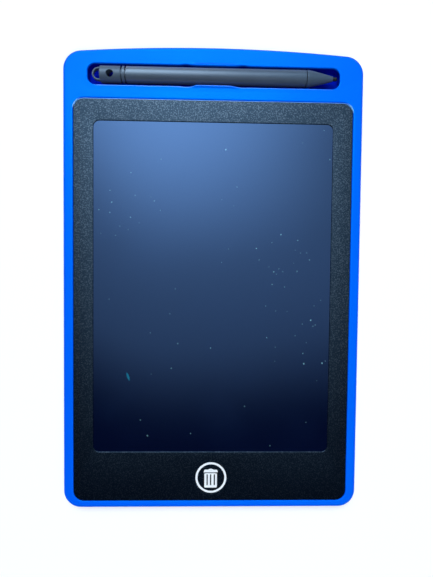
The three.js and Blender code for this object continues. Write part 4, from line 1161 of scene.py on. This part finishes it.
def soft_area_level(tree, towards):
    """Bright high behind the head of the tablet. It fades out on all sides and is dimmer on the right."""
    foot_edge, widest, far_edge = 0.65, 1.6, (0.35, 1.3)
    half_width, widening, lean, leaning = 0.66, 0.62, 0.075, 0.15
    stops = (
        (0.0, 1.0), (0.24, 1.0), (0.36, 0.56), (0.47, 0.22), (0.62, 0.155), (0.71, 0.024), (0.79, 0.002)
    )
    height = calculate(tree, "MAXIMUM", towards["Z"], 0.02)
    ahead = calculate(tree, "SUBTRACT", calculate(tree, "DIVIDE", towards["Y"], height), foot_edge)
    sideways = calculate(tree, "DIVIDE", towards["X"], height)
    short_of = calculate(tree, "MINIMUM", ahead, 0.0)
    past = calculate(tree, "MINIMUM", calculate(tree, "MAXIMUM", ahead, 0.0), widest)
    reach = calculate(tree, "MULTIPLY_ADD", past, widening, half_width)
    shift = calculate(tree, "MULTIPLY_ADD", past, leaning, lean)
    across = calculate(tree, "MULTIPLY_ADD", sideways, 1.1, shift)
    on_the_right = calculate(tree, "MULTIPLY", across, 0.5)
    aside = calculate(tree, "DIVIDE", calculate(tree, "MINIMUM", across, on_the_right), reach)
    squares = [calculate(tree, "POWER", part, 2.0) for part in (aside, short_of)]
    away = calculate(tree, "SQRT", calculate(tree, "ADD", *squares))
    fade = place_node(tree, "ShaderNodeValToRGB")
    fade.color_ramp.interpolation = "B_SPLINE"
    while len(fade.color_ramp.elements) < len(stops):
        fade.color_ramp.elements.new(0.5)
    for element, (at, level) in zip(fade.color_ramp.elements, stops):
        element.position = at
        element.color = (level, level, level, 1.0)
    tree.links.new(calculate(tree, "MULTIPLY", away, 0.75), fade.inputs["Fac"])
    to_the_right = product(
        tree, spread(tree, sideways, -0.09, 0.5), spread(tree, ahead, -0.72, -0.3)
    )
    return product(
        tree,
        fade.outputs["Color"],
        spread(tree, past, *far_edge, 1.0, 0.03),
        calculate(tree, "MULTIPLY_ADD", to_the_right, -0.8, 1.0),
    )


def light_environment():
    soft_blue, haze, white = (2.2, 3.2, 4.4), (0.86, 0.88, 0.9), (1.0, 1.0, 1.0)
    world = bpy.data.worlds.new("studio")
    bpy.context.scene.world = world
    world.use_nodes = True
    tree = world.node_tree
    tree.nodes.clear()
    towards = place_node(tree, "ShaderNodeSeparateXYZ")
    tree.links.new(place_node(tree, "ShaderNodeTexCoord").outputs["Generated"], towards.inputs[0])
    sky = place_node(tree, "ShaderNodeVectorMath", operation="SCALE")
    sky.inputs[0].default_value = soft_blue
    tree.links.new(soft_area_level(tree, towards.outputs), sky.inputs["Scale"])
    low = spread(tree, towards.outputs["Z"], 0.03, 0.13, 1.0, 0.0)
    hazy = mix_colors(tree, low, sky.outputs[0], haze)
    rays = place_node(tree, "ShaderNodeLightPath").outputs
    mirrored = calculate(tree, "MAXIMUM", rays["Is Glossy Ray"], rays["Is Transmission Ray"])
    near_horizon = calculate(tree, "MULTIPLY", mirrored, low)
    backdrop = calculate(tree, "MAXIMUM", rays["Is Camera Ray"], near_horizon)
    glow = place_node(tree, "ShaderNodeBackground")
    tree.links.new(mix_colors(tree, backdrop, hazy, white), glow.inputs["Color"])
    out = place_node(tree, "ShaderNodeOutputWorld")
    tree.links.new(glow.outputs[0], out.inputs["Surface"])


def add_soft_lamp(name, place, watts, color):
    """A lamp that faces the tablet and doesn't show in its gloss."""
    width, depth = 0.6, 0.5
    lamp = bpy.data.lights.new(name, "AREA")
    lamp.shape = "RECTANGLE"
    lamp.size = width
    lamp.size_y = depth
    lamp.energy = watts
    lamp.color = color
    holder = bpy.data.objects.new(name, lamp)
    holder.location = place
    holder.rotation_mode = "QUATERNION"
    holder.rotation_quaternion = (-Vector(place)).to_track_quat("-Z", "Y")
    holder.visible_glossy = False
    bpy.context.collection.objects.link(holder)


def add_camera():
    """Solved from the photo's outline. The turn's direction is its axis, and its length the angle."""
    place, focal_length, sensor_width = (-0.0036, 0.0041, 0.216294), 27.08, 36.0
    turn = Vector((-0.03537968, -0.02624902, 0.00976502))
    lens = bpy.data.cameras.new("camera")
    lens.lens = focal_length
    lens.sensor_width = sensor_width
    lens.clip_start = 0.01
    holder = bpy.data.objects.new("camera", lens)
    holder.location = place
    holder.rotation_mode = "AXIS_ANGLE"
    holder.rotation_axis_angle = (turn.length, *turn.normalized())
    bpy.context.collection.objects.link(holder)
    bpy.context.scene.camera = holder


add_floor()
light_environment()
add_soft_lamp("head lamp", (-0.07, 0.5, 0.9), 4.3, (1.0, 0.94, 0.87))
add_soft_lamp("foot lamp", (0.12, -0.45, 0.9), 2.8, (1.0, 0.95, 0.9))
add_camera()
bpy.context.scene.view_settings.view_transform = "Standard"
